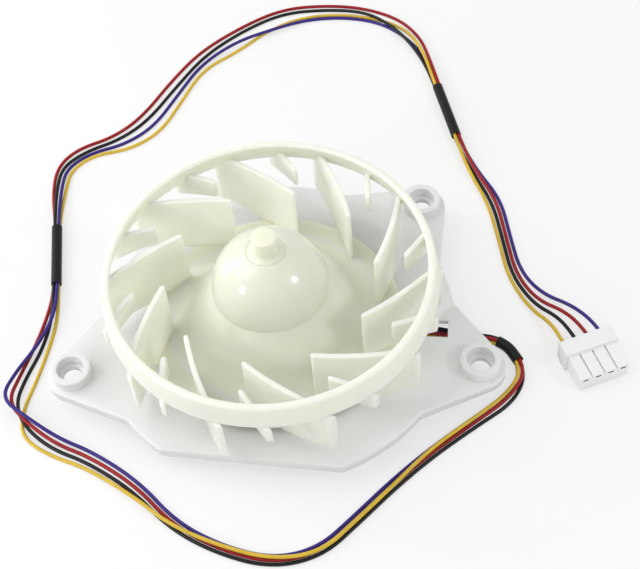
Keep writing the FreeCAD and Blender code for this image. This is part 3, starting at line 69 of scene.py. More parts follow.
# Impeller, in millimetres: the hub's outside, then its inside, then the ring and the blades.
DOME_RADIUS = 19.3
DOME_CENTRE = 33.0
HUB_WALL = 1.8
HUB_SLOPE = math.radians(56.1)
HUB_CURVE = 15.0
DISC_TOP = 14.3
DISC_RADIUS = 42.6
DISC_EDGE = 0.5
PEG_RADIUS = 4.0
PEG_TOP = 58.3
PEG_EDGE = 0.6
PEG_FOOT = 0.5
GROOVE_RADIUS = 6.3
GROOVE_HALF = 0.35
GROOVE_DEPTH = 0.35
GROOVE_RISE = 0.02
BOSS_RADIUS = 6.0
BUSHING_RADIUS = 4.0
SHAFT_TOP = 47.0
YOKE_TOP = 39.0
RING_LOW = 34.5
RING_TOP = 43.0
RING_FOOT = 55.1
RING_RADIUS = 54.0
RING_WALL = 2.7
RING_FOOT_WALL = 1.4
RING_FOOT_EDGE = 0.2
RING_EDGE = 1.0
RING_OUTER_DRAFT = 4
RING_INNER_DRAFT = 14
BLADE_TOP = 38.3
BLADE_TIP = 34.5
BLADE_TIP_ANGLE = math.radians(72.2)
BLADE_LEAN = math.radians(69.6)
BLADE_CURVE = 110.0
BLADE_RIM = 53.4
BLADE_SHOULDER = 54.4
BLADE_STEP = 34.6
BLADE_END = 56.2
BLADE_REACH = 57.8
LONG_UNDERSIDE = ((0.0, 13.5), (43.6, 13.5), (56.2, 16.8))
SHORT_BLADE_TIP = 44.4
SHORT_BLADE_LAG = math.radians(2.6)
SHORT_UNDERSIDE = ((0.0, 31.3), (43.4, 31.3), (56.2, 28.0))
# A blade's rounded inner edge: its length as a share of the thickness, its least half width, and
# the angles of its sections in degrees. Then how many sections follow from there to the ring.
NOSE_SHARE = 0.6
NOSE_HALF = 0.12
NOSE_ANGLES = (0, 25, 45, 65, 90)
BLADE_SECTIONS = 28
# Straight steps round the axis, over the dome, under it, and along the curve into the disc.
TURNED_STEPS = 192
DOME_STEPS = 40
INNER_DOME_STEPS = 36
CURVE_STEPS = 18
# Edges between faces that meet at more than these angles, in degrees, are rounded or kept sharp.
BLADE_ROUND_ANGLE = 50
CAD_ROUND_ANGLE = 35
HUB_SHARP_ANGLE = 32
CAD_SHARP_ANGLE = 30.0
# Points closer than these are merged, in metres.
SKIN_MERGE = 1e-7
CAD_MERGE = 1e-6
CONNECTOR_EDGE = 0.00015

# The range in which most of a noise's values lie.
NOISE_LOW = 0.3
NOISE_HIGH = 0.7
# Roughness of the pale plastics, which stays over 0.28 because the render gets specks under it.
NATURAL_ROUGHNESS = (0.29, 0.34)
WHITE_ROUGHNESS = (0.29, 0.35)
# How far out the hub's dome is polished, in millimetres.
POLISHED_RADIUS = 19.4
# The connector's place and turn, the pitch of its towers and, in metres on its own axes, the
# mouths in their ends: half their width, then the middle and reach of their depth and height.
PLUG_PLACE = (0.1022, -0.0160, 0.0)
PLUG_TURN = math.radians(15)
PIN_PITCH = 0.0045
MOUTH_HALF = 0.00098
MOUTH_DEPTH = (-0.0148, 0.00057)
MOUTH_HEIGHT = (0.00595, 0.0004)
# The colour of the painted shade inside the mouths, which stands in for their depth.
MOUTH_PAINTED_SHADE = (0.02, 0.02, 0.022)

# Control points of each wire's route, in metres.
ROUTES = {
    "wire_yellow": [
        (0.0291, -0.0032, 0.0038), (0.0397, -0.0036, 0.003), (0.0518, -0.0056, 0.0018),
        (0.0638, -0.0085, 0.0012), (0.0754, -0.0119, 0.0019), (0.0804, -0.0234, 0.0026),
        (0.0739, -0.0323, 0.0022), (0.0611, -0.0403, 0.0021), (0.0456, -0.05, 0.00205),
        (0.0329, -0.0611, 0.00205), (0.0204, -0.0717, 0.00205), (0.0078, -0.082, 0.00205),
        (-0.0079, -0.0826, 0.00205), (-0.0242, -0.0759, 0.00205), (-0.0391, -0.0672, 0.0021),
        (-0.0505, -0.0558, 0.002), (-0.0665, -0.0426, 0.00065), (-0.0785, -0.0368, 0.00065),
        (-0.0882, -0.0286, 0.00065), (-0.0882, -0.0186, 0.00065), (-0.084, -0.007, 0.00065),
        (-0.0806, 0.004, 0.00065), (-0.0774, 0.017, 0.00075), (-0.0773, 0.0305, 0.00122),
        (-0.0779, 0.0615, 0.0012), (-0.076, 0.0775, 0.0008), (-0.0742, 0.088, 0.00065),
        (-0.065, 0.0945, 0.00065), (-0.0515, 0.0955, 0.00065), (-0.0395, 0.103, 0.00065),
        (-0.031, 0.118, 0.00065), (-0.022, 0.1345, 0.00065), (-0.007, 0.143, 0.00065),
        (0.006, 0.1535, 0.00065), (0.021, 0.159, 0.00065), (0.037, 0.158, 0.00065),
        (0.051, 0.1532, 0.00065), (0.0618, 0.1446, 0.0015), (0.0668, 0.1305, 0.0023),
        (0.0688, 0.113, 0.0026), (0.0731, 0.0815, 0.0026), (0.0755, 0.066, 0.0019),
        (0.0804, 0.0505, 0.00065), (0.0816, 0.033, 0.00065), (0.0822, 0.016, 0.00065),
        (0.0875, 0.0015, 0.0009), (0.093, -0.0065, 0.003), (0.0951, -0.0154, 0.0049),
        (0.0963, -0.0202, 0.0049),
    ],
    "wire_black": [
        (0.0291, -0.0003, 0.0038), (0.0401, -0.0007, 0.004), (0.0523, -0.0035, 0.0035),
        (0.0642, -0.0071, 0.00264), (0.077, -0.0101, 0.0019), (0.0819, -0.0236, 0.0012),
        (0.076, -0.0346, 0.0007), (0.0623, -0.0423, 0.00065), (0.0468, -0.0518, 0.00065),
        (0.0334, -0.0617, 0.00065), (0.0209, -0.0723, 0.00065), (0.0081, -0.0827, 0.00065),
        (-0.0082, -0.0848, 0.00065), (-0.0252, -0.0778, 0.00065), (-0.0395, -0.0676, 0.00065),
        (-0.051, -0.053, 0.00065), (-0.0662, -0.0406, 0.00065), (-0.0776, -0.0346, 0.0008),
        (-0.0864, -0.0264, 0.00205), (-0.0906, -0.0162, 0.002), (-0.0876, -0.005, 0.00065),
        (-0.0828, 0.005, 0.00065), (-0.0794, 0.017, 0.0012), (-0.0787, 0.0305, 0.0026),
        (-0.0793, 0.0615, 0.0026), (-0.0792, 0.0775, 0.0019), (-0.0777, 0.0898, 0.00065),
        (-0.0685, 0.0968, 0.00065), (-0.056, 0.1008, 0.00065), (-0.0445, 0.1095, 0.00065),
        (-0.0325, 0.127, 0.00065), (-0.0205, 0.143, 0.00065), (-0.003, 0.1555, 0.00065),
        (0.013, 0.1625, 0.00065), (0.03, 0.162, 0.00065), (0.045, 0.1572, 0.00205),
        (0.054, 0.1495, 0.0021), (0.0608, 0.1394, 0.002), (0.0662, 0.127, 0.0009),
        (0.0688, 0.113, 0.0012), (0.0731, 0.0815, 0.0012), (0.0769, 0.066, 0.0008),
        (0.0821, 0.0505, 0.00065), (0.083, 0.033, 0.00065), (0.0837, 0.0165, 0.00065),
        (0.089, 0.0035, 0.0009), (0.096, -0.0045, 0.003), (0.0993, -0.014, 0.0049),
        (0.1007, -0.019, 0.0049),
    ],
    "wire_red": [
        (0.0291, -0.0017, 0.0038), (0.0399, -0.0022, 0.004), (0.0517, -0.0057, 0.0035),
        (0.0638, -0.0085, 0.00264), (0.0762, -0.011, 0.00295), (0.082, -0.0236, 0.00266),
        (0.0748, -0.0333, 0.0015), (0.0615, -0.041, 0.00065), (0.046, -0.0506, 0.00065),
        (0.0325, -0.0606, 0.00065), (0.02, -0.0712, 0.00065), (0.0075, -0.0813, 0.00065),
        (-0.008, -0.0833, 0.00065), (-0.0245, -0.0765, 0.00065), (-0.0385, -0.0665, 0.00065),
        (-0.05, -0.0513, 0.00065), (-0.0652, -0.0388, 0.00065), (-0.0766, -0.0328, 0.0012),
        (-0.0862, -0.0246, 0.00345), (-0.0928, -0.0156, 0.00335), (-0.0898, -0.004, 0.00065),
        (-0.0856, 0.006, 0.00065), (-0.0817, 0.0175, 0.00065), (-0.0787, 0.0305, 0.00122),
        (-0.0793, 0.0615, 0.0012), (-0.0809, 0.077, 0.0008), (-0.0795, 0.0905, 0.00065),
        (-0.0715, 0.0986, 0.00065), (-0.0585, 0.1025, 0.00065), (-0.047, 0.1115, 0.00065),
        (-0.034, 0.131, 0.00065), (-0.022, 0.1455, 0.00065), (-0.004, 0.1576, 0.00065),
        (0.0125, 0.165, 0.00065), (0.03, 0.1646, 0.00065), (0.046, 0.1606, 0.00065),
        (0.0595, 0.152, 0.00065), (0.0665, 0.14, 0.001), (0.0685, 0.128, 0.002),
        (0.0702, 0.1132, 0.0026), (0.0745, 0.0817, 0.0026), (0.0776, 0.0665, 0.002),
        (0.0837, 0.0513, 0.0008), (0.0844, 0.0335, 0.00065), (0.0852, 0.017, 0.00065),
        (0.0905, 0.005, 0.0009), (0.099, -0.0026, 0.003), (0.1035, -0.0124, 0.0049),
        (0.105, -0.0178, 0.0049),
    ],
    "wire_blue": [
        (0.0291, 0.0012, 0.0038), (0.0403, 0.0007, 0.003), (0.0522, -0.0036, 0.0018),
        (0.0642, -0.0071, 0.0012), (0.0762, -0.011, 0.00088), (0.0803, -0.0234, 0.00115),
        (0.0736, -0.032, 0.00065), (0.0607, -0.0397, 0.00065), (0.0452, -0.0494, 0.00065),
        (0.0316, -0.0595, 0.00065), (0.0191, -0.0701, 0.00065), (0.0069, -0.0799, 0.00065),
        (-0.0078, -0.0818, 0.00065), (-0.0238, -0.0752, 0.00065), (-0.0375, -0.0654, 0.00065),
        (-0.049, -0.0499, 0.00065), (-0.064, -0.0372, 0.00065), (-0.0756, -0.031, 0.0016),
        (-0.0864, -0.023, 0.00485), (-0.095, -0.0145, 0.0045), (-0.091, -0.0036, 0.0024),
        (-0.084, 0.0065, 0.0023), (-0.0784, 0.0175, 0.0031), (-0.0773, 0.0305, 0.0026),
        (-0.0779, 0.0615, 0.0026), (-0.0775, 0.0775, 0.00195), (-0.0759, 0.089, 0.00065),
        (-0.0668, 0.0956, 0.00065), (-0.0536, 0.0983, 0.00065), (-0.042, 0.1063, 0.00065),
        (-0.0323, 0.122, 0.00065), (-0.0226, 0.1375, 0.00065), (-0.008, 0.147, 0.00205),
        (0.0065, 0.1519, 0.00205), (0.0215, 0.1572, 0.00065), (0.037, 0.1564, 0.00065),
        (0.0504, 0.1516, 0.00065), (0.0598, 0.1429, 0.00065), (0.0669, 0.13, 0.0007),
        (0.0702, 0.1132, 0.0012), (0.0745, 0.0817, 0.0012), (0.0788, 0.0665, 0.0008),
        (0.0852, 0.0519, 0.00065), (0.0859, 0.0345, 0.00065), (0.0868, 0.0185, 0.00065),
        (0.0925, 0.0075, 0.0009), (0.102, -0.0005, 0.003), (0.1077, -0.0106, 0.0049),
        (0.1094, -0.0167, 0.0049),
    ],
}
# The name of each wire's jacket finish.
WIRE_SLOTS = {
    "wire_yellow": "yellow_jacket", "wire_black": "black_jacket",
    "wire_red": "red_jacket", "wire_blue": "blue_jacket",
}


class FanImpellerLook(bpy.types.PropertyGroup):
    """The impeller's moulding."""

    plastic: FloatVectorProperty(
        name="Plastic", description="Colour of the natural, slightly cloudy plastic",
        subtype="COLOR", size=3, min=0, max=1, default=(0.83, 0.84, 0.69))
    # The blades and ring get a whiter colour than the hub: painted light for the light that shines through
    # their thin walls.
    walls: FloatVectorProperty(
        name="Blades and ring", description="Colour of the thin blades and the ring, which pass light",
        subtype="COLOR", size=3, min=0, max=1, default=(0.82, 0.83, 0.75))
    blade_pairs: IntProperty(
        name="Blade pairs", description="How many long blades there are, with as many short ones",
        min=3, max=24, default=10)
    blade_thickness: FloatProperty(
        name="Blade thickness", description="Thickness of every blade",
        subtype="DISTANCE", unit="LENGTH", min=0.0005, max=0.004, default=0.0016)
    edge: FloatProperty(
        name="Edge rounding", description="Width of the rounding along the blades' edges",
        subtype="DISTANCE", unit="LENGTH", min=0, max=0.001, default=0.0003)


class FanPlateLook(bpy.types.PropertyGroup):
    """The mounting plate and the cover under it."""

    plate: FloatVectorProperty(
        name="Plate", description="Colour of the white mounting plate",
        subtype="COLOR", size=3, min=0, max=1, default=(0.78, 0.79, 0.785))
    cover: FloatVectorProperty(
        name="Cover", description="Colour of the cover under the plate",
        subtype="COLOR", size=3, min=0, max=1, default=(0.03, 0.03, 0.033))
    edge: FloatProperty(
        name="Edge rounding", description="Width of the rounding along the plate's edges",
        subtype="DISTANCE", unit="LENGTH", min=0, max=0.001, default=0.0002)


class FanLeadLook(bpy.types.PropertyGroup):
    """The four wires, their sleeves and the connector."""

    diameter: FloatProperty(
        name="Wire diameter", description="Diameter over the jacket of each wire",
        subtype="DISTANCE", unit="LENGTH", min=0.0005, max=0.003, default=0.0013)
    wire_yellow: FloatVectorProperty(
        name="Yellow", description="Colour of the yellow wire",
        subtype="COLOR", size=3, min=0, max=1, default=(0.66, 0.45, 0.04))
    wire_black: FloatVectorProperty(
        name="Black", description="Colour of the black wire",
        subtype="COLOR", size=3, min=0, max=1, default=(0.004, 0.004, 0.005))
    wire_red: FloatVectorProperty(
        name="Red", description="Colour of the red wire",
        subtype="COLOR", size=3, min=0, max=1, default=(0.33, 0.007, 0.01))
    wire_blue: FloatVectorProperty(
        name="Blue", description="Colour of the violet-blue wire",
        subtype="COLOR", size=3, min=0, max=1, default=(0.035, 0.016, 0.20))
    sleeve: FloatVectorProperty(
        name="Sleeves", description="Colour of the shrink sleeves",
        subtype="COLOR", size=3, min=0, max=1, default=(0.008, 0.008, 0.009))
    connector: FloatVectorProperty(
        name="Connector", description="Colour of the connector's housing",
        subtype="COLOR", size=3, min=0, max=1, default=(0.86, 0.87, 0.87))


class FanStageLook(bpy.types.PropertyGroup):
    """The floor and the light."""

    floor: FloatVectorProperty(
        name="Floor", description="Colour of the plain floor",
        subtype="COLOR", size=3, min=0, max=1, default=(0.86, 0.86, 0.86))
    backdrop: FloatProperty(
        name="Backdrop", description="How far the floor shows as plain white paper in the picture",
        subtype="FACTOR", min=0, max=0.8, default=0.6)
    key_power: FloatProperty(
        name="Ceiling light", description="Power of the large soft lamp, which the small ones follow",
        unit="POWER", min=0, default=1.8)
    sky: FloatProperty(
        name="Sky", description="Strength of the even light from all round", min=0, default=0.68)


def wire_node(tree, source, target):
    """Link an output of a tree to an input."""
    tree.links.new(source, target)


def new_finish(name, colour, roughness):
    """A material whose shader's plain values are set, with its tree and shader."""
    finish = bpy.data.materials.new(name)
    finish.use_nodes = True
    shader = finish.node_tree.nodes["Principled BSDF"]
    shader.inputs["Base Color"].default_value = (*colour, 1)
    shader.inputs["Roughness"].default_value = roughness
    finish.diffuse_color = (*colour, 1)
    return finish, finish.node_tree, shader


def cloudiness(tree, scale, detail=3.0, stretch=(1, 1, 1)):
    """Noise over the piece's own coordinates, scaled per metre."""
    place = tree.nodes.new("ShaderNodeTexCoord")
    mapping = tree.nodes.new("ShaderNodeMapping")
    mapping.inputs["Scale"].default_value = stretch
    texture = tree.nodes.new("ShaderNodeTexNoise")
    texture.inputs["Scale"].default_value = scale
    texture.inputs["Detail"].default_value = detail
    wire_node(tree, place.outputs["Object"], mapping.inputs["Vector"])
    wire_node(tree, mapping.outputs["Vector"], texture.inputs["Vector"])
    return texture.outputs["Fac"]


def between(tree, source, low, high):
    """A noise's middle range spread from low to high."""
    spread = tree.nodes.new("ShaderNodeMapRange")
    spread.inputs["From Min"].default_value = NOISE_LOW
    spread.inputs["From Max"].default_value = NOISE_HIGH
    spread.inputs["To Min"].default_value = low
    spread.inputs["To Max"].default_value = high
    wire_node(tree, source, spread.inputs["Value"])
    return spread.outputs["Result"]


def shade(tree, source, target, colour, lift):
    """Carry a colour into a socket, from darker to lighter by the lift over a noise's middle range."""
    ramp = tree.nodes.new("ShaderNodeValToRGB")
    first, last = ramp.color_ramp.elements
    first.position, last.position = NOISE_LOW, NOISE_HIGH
    first.color = (*[part * (1 - lift) for part in colour], 1)
    last.color = (*[min(1, part * (1 + lift)) for part in colour], 1)
    wire_node(tree, source, ramp.inputs["Fac"])
    wire_node(tree, ramp.outputs["Color"], target)


def relief(tree, source, shader, distance):
    """Raise the surface by the source, over a height in metres."""
    bump = tree.nodes.new("ShaderNodeBump")
    bump.inputs["Strength"].default_value = 1.0
    bump.inputs["Distance"].default_value = distance
    wire_node(tree, source, bump.inputs["Height"])
    wire_node(tree, bump.outputs["Normal"], shader.inputs["Normal"])


def seen_directly(tree):
    """1 for the rays that show a backdrop: straight from the camera, mirrored or through glass."""
    path = tree.nodes.new("ShaderNodeLightPath")
    total = path.outputs["Is Camera Ray"]
    for kind in ("Is Glossy Ray", "Is Transmission Ray"):
        join = tree.nodes.new("ShaderNodeMath")
        join.operation = "MAXIMUM"
        wire_node(tree, total, join.inputs[0])
        wire_node(tree, path.outputs[kind], join.inputs[1])
        total = join.outputs[0]
    return total


def near_axis(tree, radius):
    """1 closer to the shaft's axis than the radius, and 0 further out."""
    place = tree.nodes.new("ShaderNodeTexCoord")
    flat = tree.nodes.new("ShaderNodeMapping")
    flat.inputs["Scale"].default_value = (1, 1, 0)
    reach = tree.nodes.new("ShaderNodeVectorMath")
    reach.operation = "LENGTH"
    near = tree.nodes.new("ShaderNodeMath")
    near.operation = "LESS_THAN"
    near.inputs[1].default_value = radius
    wire_node(tree, place.outputs["Object"], flat.inputs["Vector"])
    wire_node(tree, flat.outputs["Vector"], reach.inputs[0])
    wire_node(tree, reach.outputs["Value"], near.inputs[0])
    return near.outputs[0]


def blend_in(tree, factor, colour):
    """Lead the base colour over to another colour as the factor goes from 0 to 1."""
    base = tree.nodes["Principled BSDF"].inputs["Base Color"]
    blend = tree.nodes.new("ShaderNodeMix")
    blend.data_type = "RGBA"
    share, plain, other = blend.inputs[0], blend.inputs[6], blend.inputs[7]
    other.default_value = (*colour, 1)
    wire_node(tree, factor, share)
    wire_node(tree, base.links[0].from_socket, plain)
    wire_node(tree, blend.outputs[2], base)


def wall_glow_mask(tree):
    """Where painted light goes: 1 on the blades and the ring, which stand over the disc, and 0 on the disc
    and the hub.
    """
    place = tree.nodes.new("ShaderNodeTexCoord")
    axes = tree.nodes.new("ShaderNodeSeparateXYZ")
    above = tree.nodes.new("ShaderNodeMath")
    above.operation = "GREATER_THAN"
    above.inputs[1].default_value = (DISC_TOP + DISC_EDGE) * MM
    outside = tree.nodes.new("ShaderNodeMath")
    outside.operation = "SUBTRACT"
    outside.use_clamp = True
    wire_node(tree, place.outputs["Object"], axes.inputs["Vector"])
    wire_node(tree, axes.outputs["Z"], above.inputs[0])
    wire_node(tree, above.outputs[0], outside.inputs[0])
    wire_node(tree, near_axis(tree, (BLADE_TIP - DISC_EDGE) * MM), outside.inputs[1])
    return outside.outputs[0]


def natural_plastic(look):
    """Cloudy natural plastic, polished on the dome, with light bleeding through its thin walls, and
    painted light that makes the blades and ring whiter.
    """
    finish, tree, shader = new_finish("natural_plastic", look.plastic, 0.31)
    shader.inputs["IOR"].default_value = 1.5
    shader.inputs["Subsurface Weight"].default_value = 1.0
    shader.inputs["Subsurface Radius"].default_value = (1.0, 1.0, 0.8)
    shader.inputs["Subsurface Scale"].default_value = 0.003
    shader.inputs["Coat Roughness"].default_value = 0.07
    wire_node(tree, near_axis(tree, POLISHED_RADIUS * MM), shader.inputs["Coat Weight"])
    shade(tree, cloudiness(tree, 35), shader.inputs["Base Color"], look.plastic, 0.008)
    # Painted light: the blades and ring are coloured whiter for the light through their thin walls.
    blend_in(tree, wall_glow_mask(tree), look.walls)
    wire_node(tree, between(tree, cloudiness(tree, 35), *NATURAL_ROUGHNESS), shader.inputs["Roughness"])
    relief(tree, cloudiness(tree, 60, 2), shader, 0.00003)
    return finish


def white_plastic(name, colour):
    """White moulded plastic with a soft sheen and the faint waves of a moulded face."""
    finish, tree, shader = new_finish(name, colour, 0.32)
    shader.inputs["IOR"].default_value = 1.48
    shader.inputs["Subsurface Weight"].default_value = 0.08
    shader.inputs["Subsurface Radius"].default_value = (1.0, 1.0, 1.0)
    shader.inputs["Subsurface Scale"].default_value = 0.001
    shade(tree, cloudiness(tree, 22), shader.inputs["Base Color"], colour, 0.012)
    wire_node(tree, between(tree, cloudiness(tree, 30), *WHITE_ROUGHNESS), shader.inputs["Roughness"])
    relief(tree, cloudiness(tree, 50, 2), shader, 0.00002)
    return finish


def mouth_shade_mask(tree):
    """1 where shade is painted: on the sides of the small mouths in the towers' ends, on the turned
    connector's own axes.
    """
    place = tree.nodes.new("ShaderNodeTexCoord")
    turned = tree.nodes.new("ShaderNodeMapping")
    turned.vector_type = "TEXTURE"
    turned.inputs["Location"].default_value = PLUG_PLACE
    turned.inputs["Rotation"].default_value = (0, 0, PLUG_TURN)
    axes = tree.nodes.new("ShaderNodeSeparateXYZ")
    wire_node(tree, place.outputs["Object"], turned.inputs["Vector"])
    wire_node(tree, turned.outputs["Vector"], axes.inputs["Vector"])

    def step(operation, source, first=0.0, second=0.0):
        node = tree.nodes.new("ShaderNodeMath")
        node.operation = operation
        node.inputs[1].default_value = first
        node.inputs[2].default_value = second
        wire_node(tree, source, node.inputs[0])
        return node.outputs[0]

    half = PIN_PITCH / 2
    across = step("ABSOLUTE", step("WRAP", step("ADD", axes.outputs["X"], half), half, -half))
    inside = step("LESS_THAN", across, MOUTH_HALF)
    for axis, (middle, reach) in (("Y", MOUTH_DEPTH), ("Z", MOUTH_HEIGHT)):
        both = tree.nodes.new("ShaderNodeMath")
        both.operation = "MULTIPLY"
        wire_node(tree, inside, both.inputs[0])
        wire_node(tree, step("COMPARE", axes.outputs[axis], middle, reach), both.inputs[1])
        inside = both.outputs[0]
    return inside


def connector_plastic(colour):
    """White plastic with shade painted dark inside the mouths, where no light comes."""
    finish = white_plastic("connector_plastic", colour)
    # Painted shade: the insides of the mouths are coloured dark for their depth.
    blend_in(finish.node_tree, mouth_shade_mask(finish.node_tree), MOUTH_PAINTED_SHADE)
    return finish


def dark_plastic(name, colour, roughness=0.45):
    """Dark plastic with a fine, even grain."""
    finish, tree, shader = new_finish(name, colour, roughness)
    shade(tree, cloudiness(tree, 60), shader.inputs["Base Color"], colour, 0.15)
    wire_node(tree, between(tree, cloudiness(tree, 200), roughness - 0.08, roughness + 0.08),
              shader.inputs["Roughness"])
    relief(tree, cloudiness(tree, 2500, 4), shader, 0.00002)
    return finish


def metal(name, colour, roughness, stretch=(1, 1, 1), scale=400):
    """Bare metal, its grain drawn out along the axis with the smallest stretch."""
    finish, tree, shader = new_finish(name, colour, roughness)
    shader.inputs["Metallic"].default_value = 1.0
    grain = cloudiness(tree, scale, 5, stretch)
    shade(tree, grain, shader.inputs["Base Color"], colour, 0.08)
    wire_node(tree, between(tree, grain, roughness * 0.7, roughness * 1.3), shader.inputs["Roughness"])
    relief(tree, grain, shader, 0.00001)
    return finish


def wire_jacket(name, colour):
    """Thin soft jacket with a slight shine, a little worn and uneven along its length."""
    finish, tree, shader = new_finish(name, colour, 0.34)
    shader.inputs["IOR"].default_value = 1.36
    shade(tree, cloudiness(tree, 160), shader.inputs["Base Color"], colour, 0.1)
    wire_node(tree, between(tree, cloudiness(tree, 500), 0.28, 0.42), shader.inputs["Roughness"])
    relief(tree, cloudiness(tree, 900, 3), shader, 0.00003)
    return finish


def shrink_sleeve(name, colour):
    """Black shrink sleeve: satin, with faint dents over the wires inside."""
    finish, tree, shader = new_finish(name, colour, 0.42)
    shader.inputs["IOR"].default_value = 1.3
    shade(tree, cloudiness(tree, 120), shader.inputs["Base Color"], colour, 0.2)
    wire_node(tree, between(tree, cloudiness(tree, 300), 0.36, 0.5), shader.inputs["Roughness"])
    relief(tree, cloudiness(tree, 260, 2), shader, 0.0002)
    return finish


def copper_winding(name, colour):
    """Lacquered copper wire laid in close turns."""
    finish, tree, shader = new_finish(name, colour, 0.3)
    shader.inputs["Metallic"].default_value = 1.0
    shader.inputs["Coat Weight"].default_value = 0.6
    place = tree.nodes.new("ShaderNodeTexCoord")
    turns = tree.nodes.new("ShaderNodeTexWave")
    turns.wave_type = "RINGS"
    turns.rings_direction = "Z"
    turns.inputs["Scale"].default_value = 700
    wire_node(tree, place.outputs["Object"], turns.inputs["Vector"])
    shade(tree, turns.outputs["Fac"], shader.inputs["Base Color"], colour, 0.25)
    relief(tree, turns.outputs["Fac"], shader, 0.0001)
    return finish


def arc(centre, radius, start, end, steps):
    """Points on an arc in the section plane, from one angle to another, in degrees."""
    points = []
    for step in range(steps + 1):
        angle = math.radians(start + (end - start) * step / steps)
        points.append((centre[0] + radius * math.cos(angle), centre[1] + radius * math.sin(angle)))
    return points


def angle_on(centre, point):
    """The direction from a centre to a point, in degrees."""
    return math.degrees(math.atan2(point[1] - centre[1], point[0] - centre[0]))


def hub_profile():
    """The hub's section from the peg's top out to the disc's edge and back inside to the bush."""
    dome = (0, DOME_CENTRE)
    inner = DOME_RADIUS - HUB_WALL
    run = (DOME_CENTRE - DISC_TOP) / math.tan(HUB_SLOPE)
    curve = (DOME_RADIUS + run + HUB_CURVE * math.tan(HUB_SLOPE / 2), DISC_TOP + HUB_CURVE)
    slope = math.degrees(HUB_SLOPE)
    foot_z = DOME_CENTRE + math.sqrt(DOME_RADIUS ** 2 - (PEG_RADIUS + PEG_FOOT) ** 2)
    groove_z = DOME_CENTRE + math.sqrt(DOME_RADIUS ** 2 - GROOVE_RADIUS ** 2)
    under = HUB_CURVE + HUB_WALL
    under_start = (curve[0] - under * math.sin(HUB_SLOPE), curve[1] - under * math.cos(HUB_SLOPE))
    under_top = under_start[1] + (under_start[0] - inner) * math.tan(HUB_SLOPE)
    boss = (BOSS_RADIUS, DOME_CENTRE + math.sqrt(inner ** 2 - BOSS_RADIUS ** 2))
    groove_out = (GROOVE_RADIUS + GROOVE_HALF,
                  DOME_CENTRE + math.sqrt(DOME_RADIUS ** 2 - (GROOVE_RADIUS + GROOVE_HALF) ** 2))
    points = [(0, PEG_TOP)]
    points += arc((PEG_RADIUS - PEG_EDGE, PEG_TOP - PEG_EDGE), PEG_EDGE, 90, 0, 5)
    points += arc((PEG_RADIUS + PEG_FOOT, foot_z + PEG_FOOT), PEG_FOOT, 180, 260, 4)
    points += arc((GROOVE_RADIUS, groove_z + GROOVE_RISE), GROOVE_DEPTH, 170, 330, 8)
    points += arc(dome, DOME_RADIUS, angle_on(dome, groove_out), 0, DOME_STEPS)
    points += arc(curve, HUB_CURVE, 270 - slope, 270, CURVE_STEPS)
    points += arc((DISC_RADIUS - DISC_EDGE, DISC_TOP - DISC_EDGE), DISC_EDGE, 90, 0, 4)
    points += arc((DISC_RADIUS - DISC_EDGE, DISC_TOP - HUB_WALL + DISC_EDGE), DISC_EDGE, 0, -90, 4)
    points += arc(curve, under, 270, 270 - slope, CURVE_STEPS)
    points += [(inner, under_top)]
    points += arc(dome, inner, 0, angle_on(dome, boss), INNER_DOME_STEPS)
    points += [(BOSS_RADIUS, YOKE_TOP), (BUSHING_RADIUS, YOKE_TOP)]
    points += [(BUSHING_RADIUS, SHAFT_TOP), (0, SHAFT_TOP)]
    return points


def ring_profile():
    """The ring's closed section, with its two rounded upper edges."""
    foot_in = RING_FOOT - RING_FOOT_WALL
    inner = RING_RADIUS - RING_WALL
    edge_z = RING_TOP - RING_EDGE
    points = [(foot_in, RING_LOW), (RING_FOOT - RING_FOOT_EDGE, RING_LOW)]
    points += [(RING_FOOT, RING_LOW + RING_FOOT_EDGE)]
    points += arc((RING_RADIUS - RING_EDGE, edge_z), RING_EDGE, RING_OUTER_DRAFT, 90, 8)
    points += arc((inner + RING_EDGE, edge_z), RING_EDGE, 90, 180 - RING_INNER_DRAFT, 7)
    return points


def turned_mesh(name, profile, closed):
    """A section in millimetres turned round the Z axis into a closed skin."""
    mesh = bmesh.new()
    first = [mesh.verts.new((r * MM, 0, z * MM)) for r, z in profile]
    pairs = list(zip(first, first[1:]))
    if closed:
        pairs.append((first[-1], first[0]))
    edges = [mesh.edges.new(pair) for pair in pairs]
    bmesh.ops.spin(mesh, geom=first + edges, cent=(0, 0, 0), axis=(0, 0, 1),
                   angle=math.tau, steps=TURNED_STEPS, use_merge=True)
    bmesh.ops.remove_doubles(mesh, verts=mesh.verts, dist=SKIN_MERGE)
    bmesh.ops.recalc_face_normals(mesh, faces=mesh.faces)
    return finished_object(name, mesh)


def finished_object(name, mesh):
    """Put a bmesh into the scene as an object of its own."""
    data = bpy.data.meshes.new(name)
    mesh.to_mesh(data)
    mesh.free()
    piece = bpy.data.objects.new(name, data)
    bpy.context.scene.collection.objects.link(piece)
    return piece


def underside(line, radius):
    """The height of a blade's lower edge at a distance from the axis."""
    for (near, low), (far, high) in zip(line, line[1:]):
        if near <= radius <= far:
            return low + (high - low) * (radius - near) / (far - near)
    return line[-1][1]


def along_at(radius, side=0.0):
    """How far along a blade's line a point at this distance from the axis lies."""
    offset = BLADE_TIP * math.sin(BLADE_LEAN) - side
    return math.sqrt(radius ** 2 - offset ** 2) - BLADE_TIP * math.cos(BLADE_LEAN)


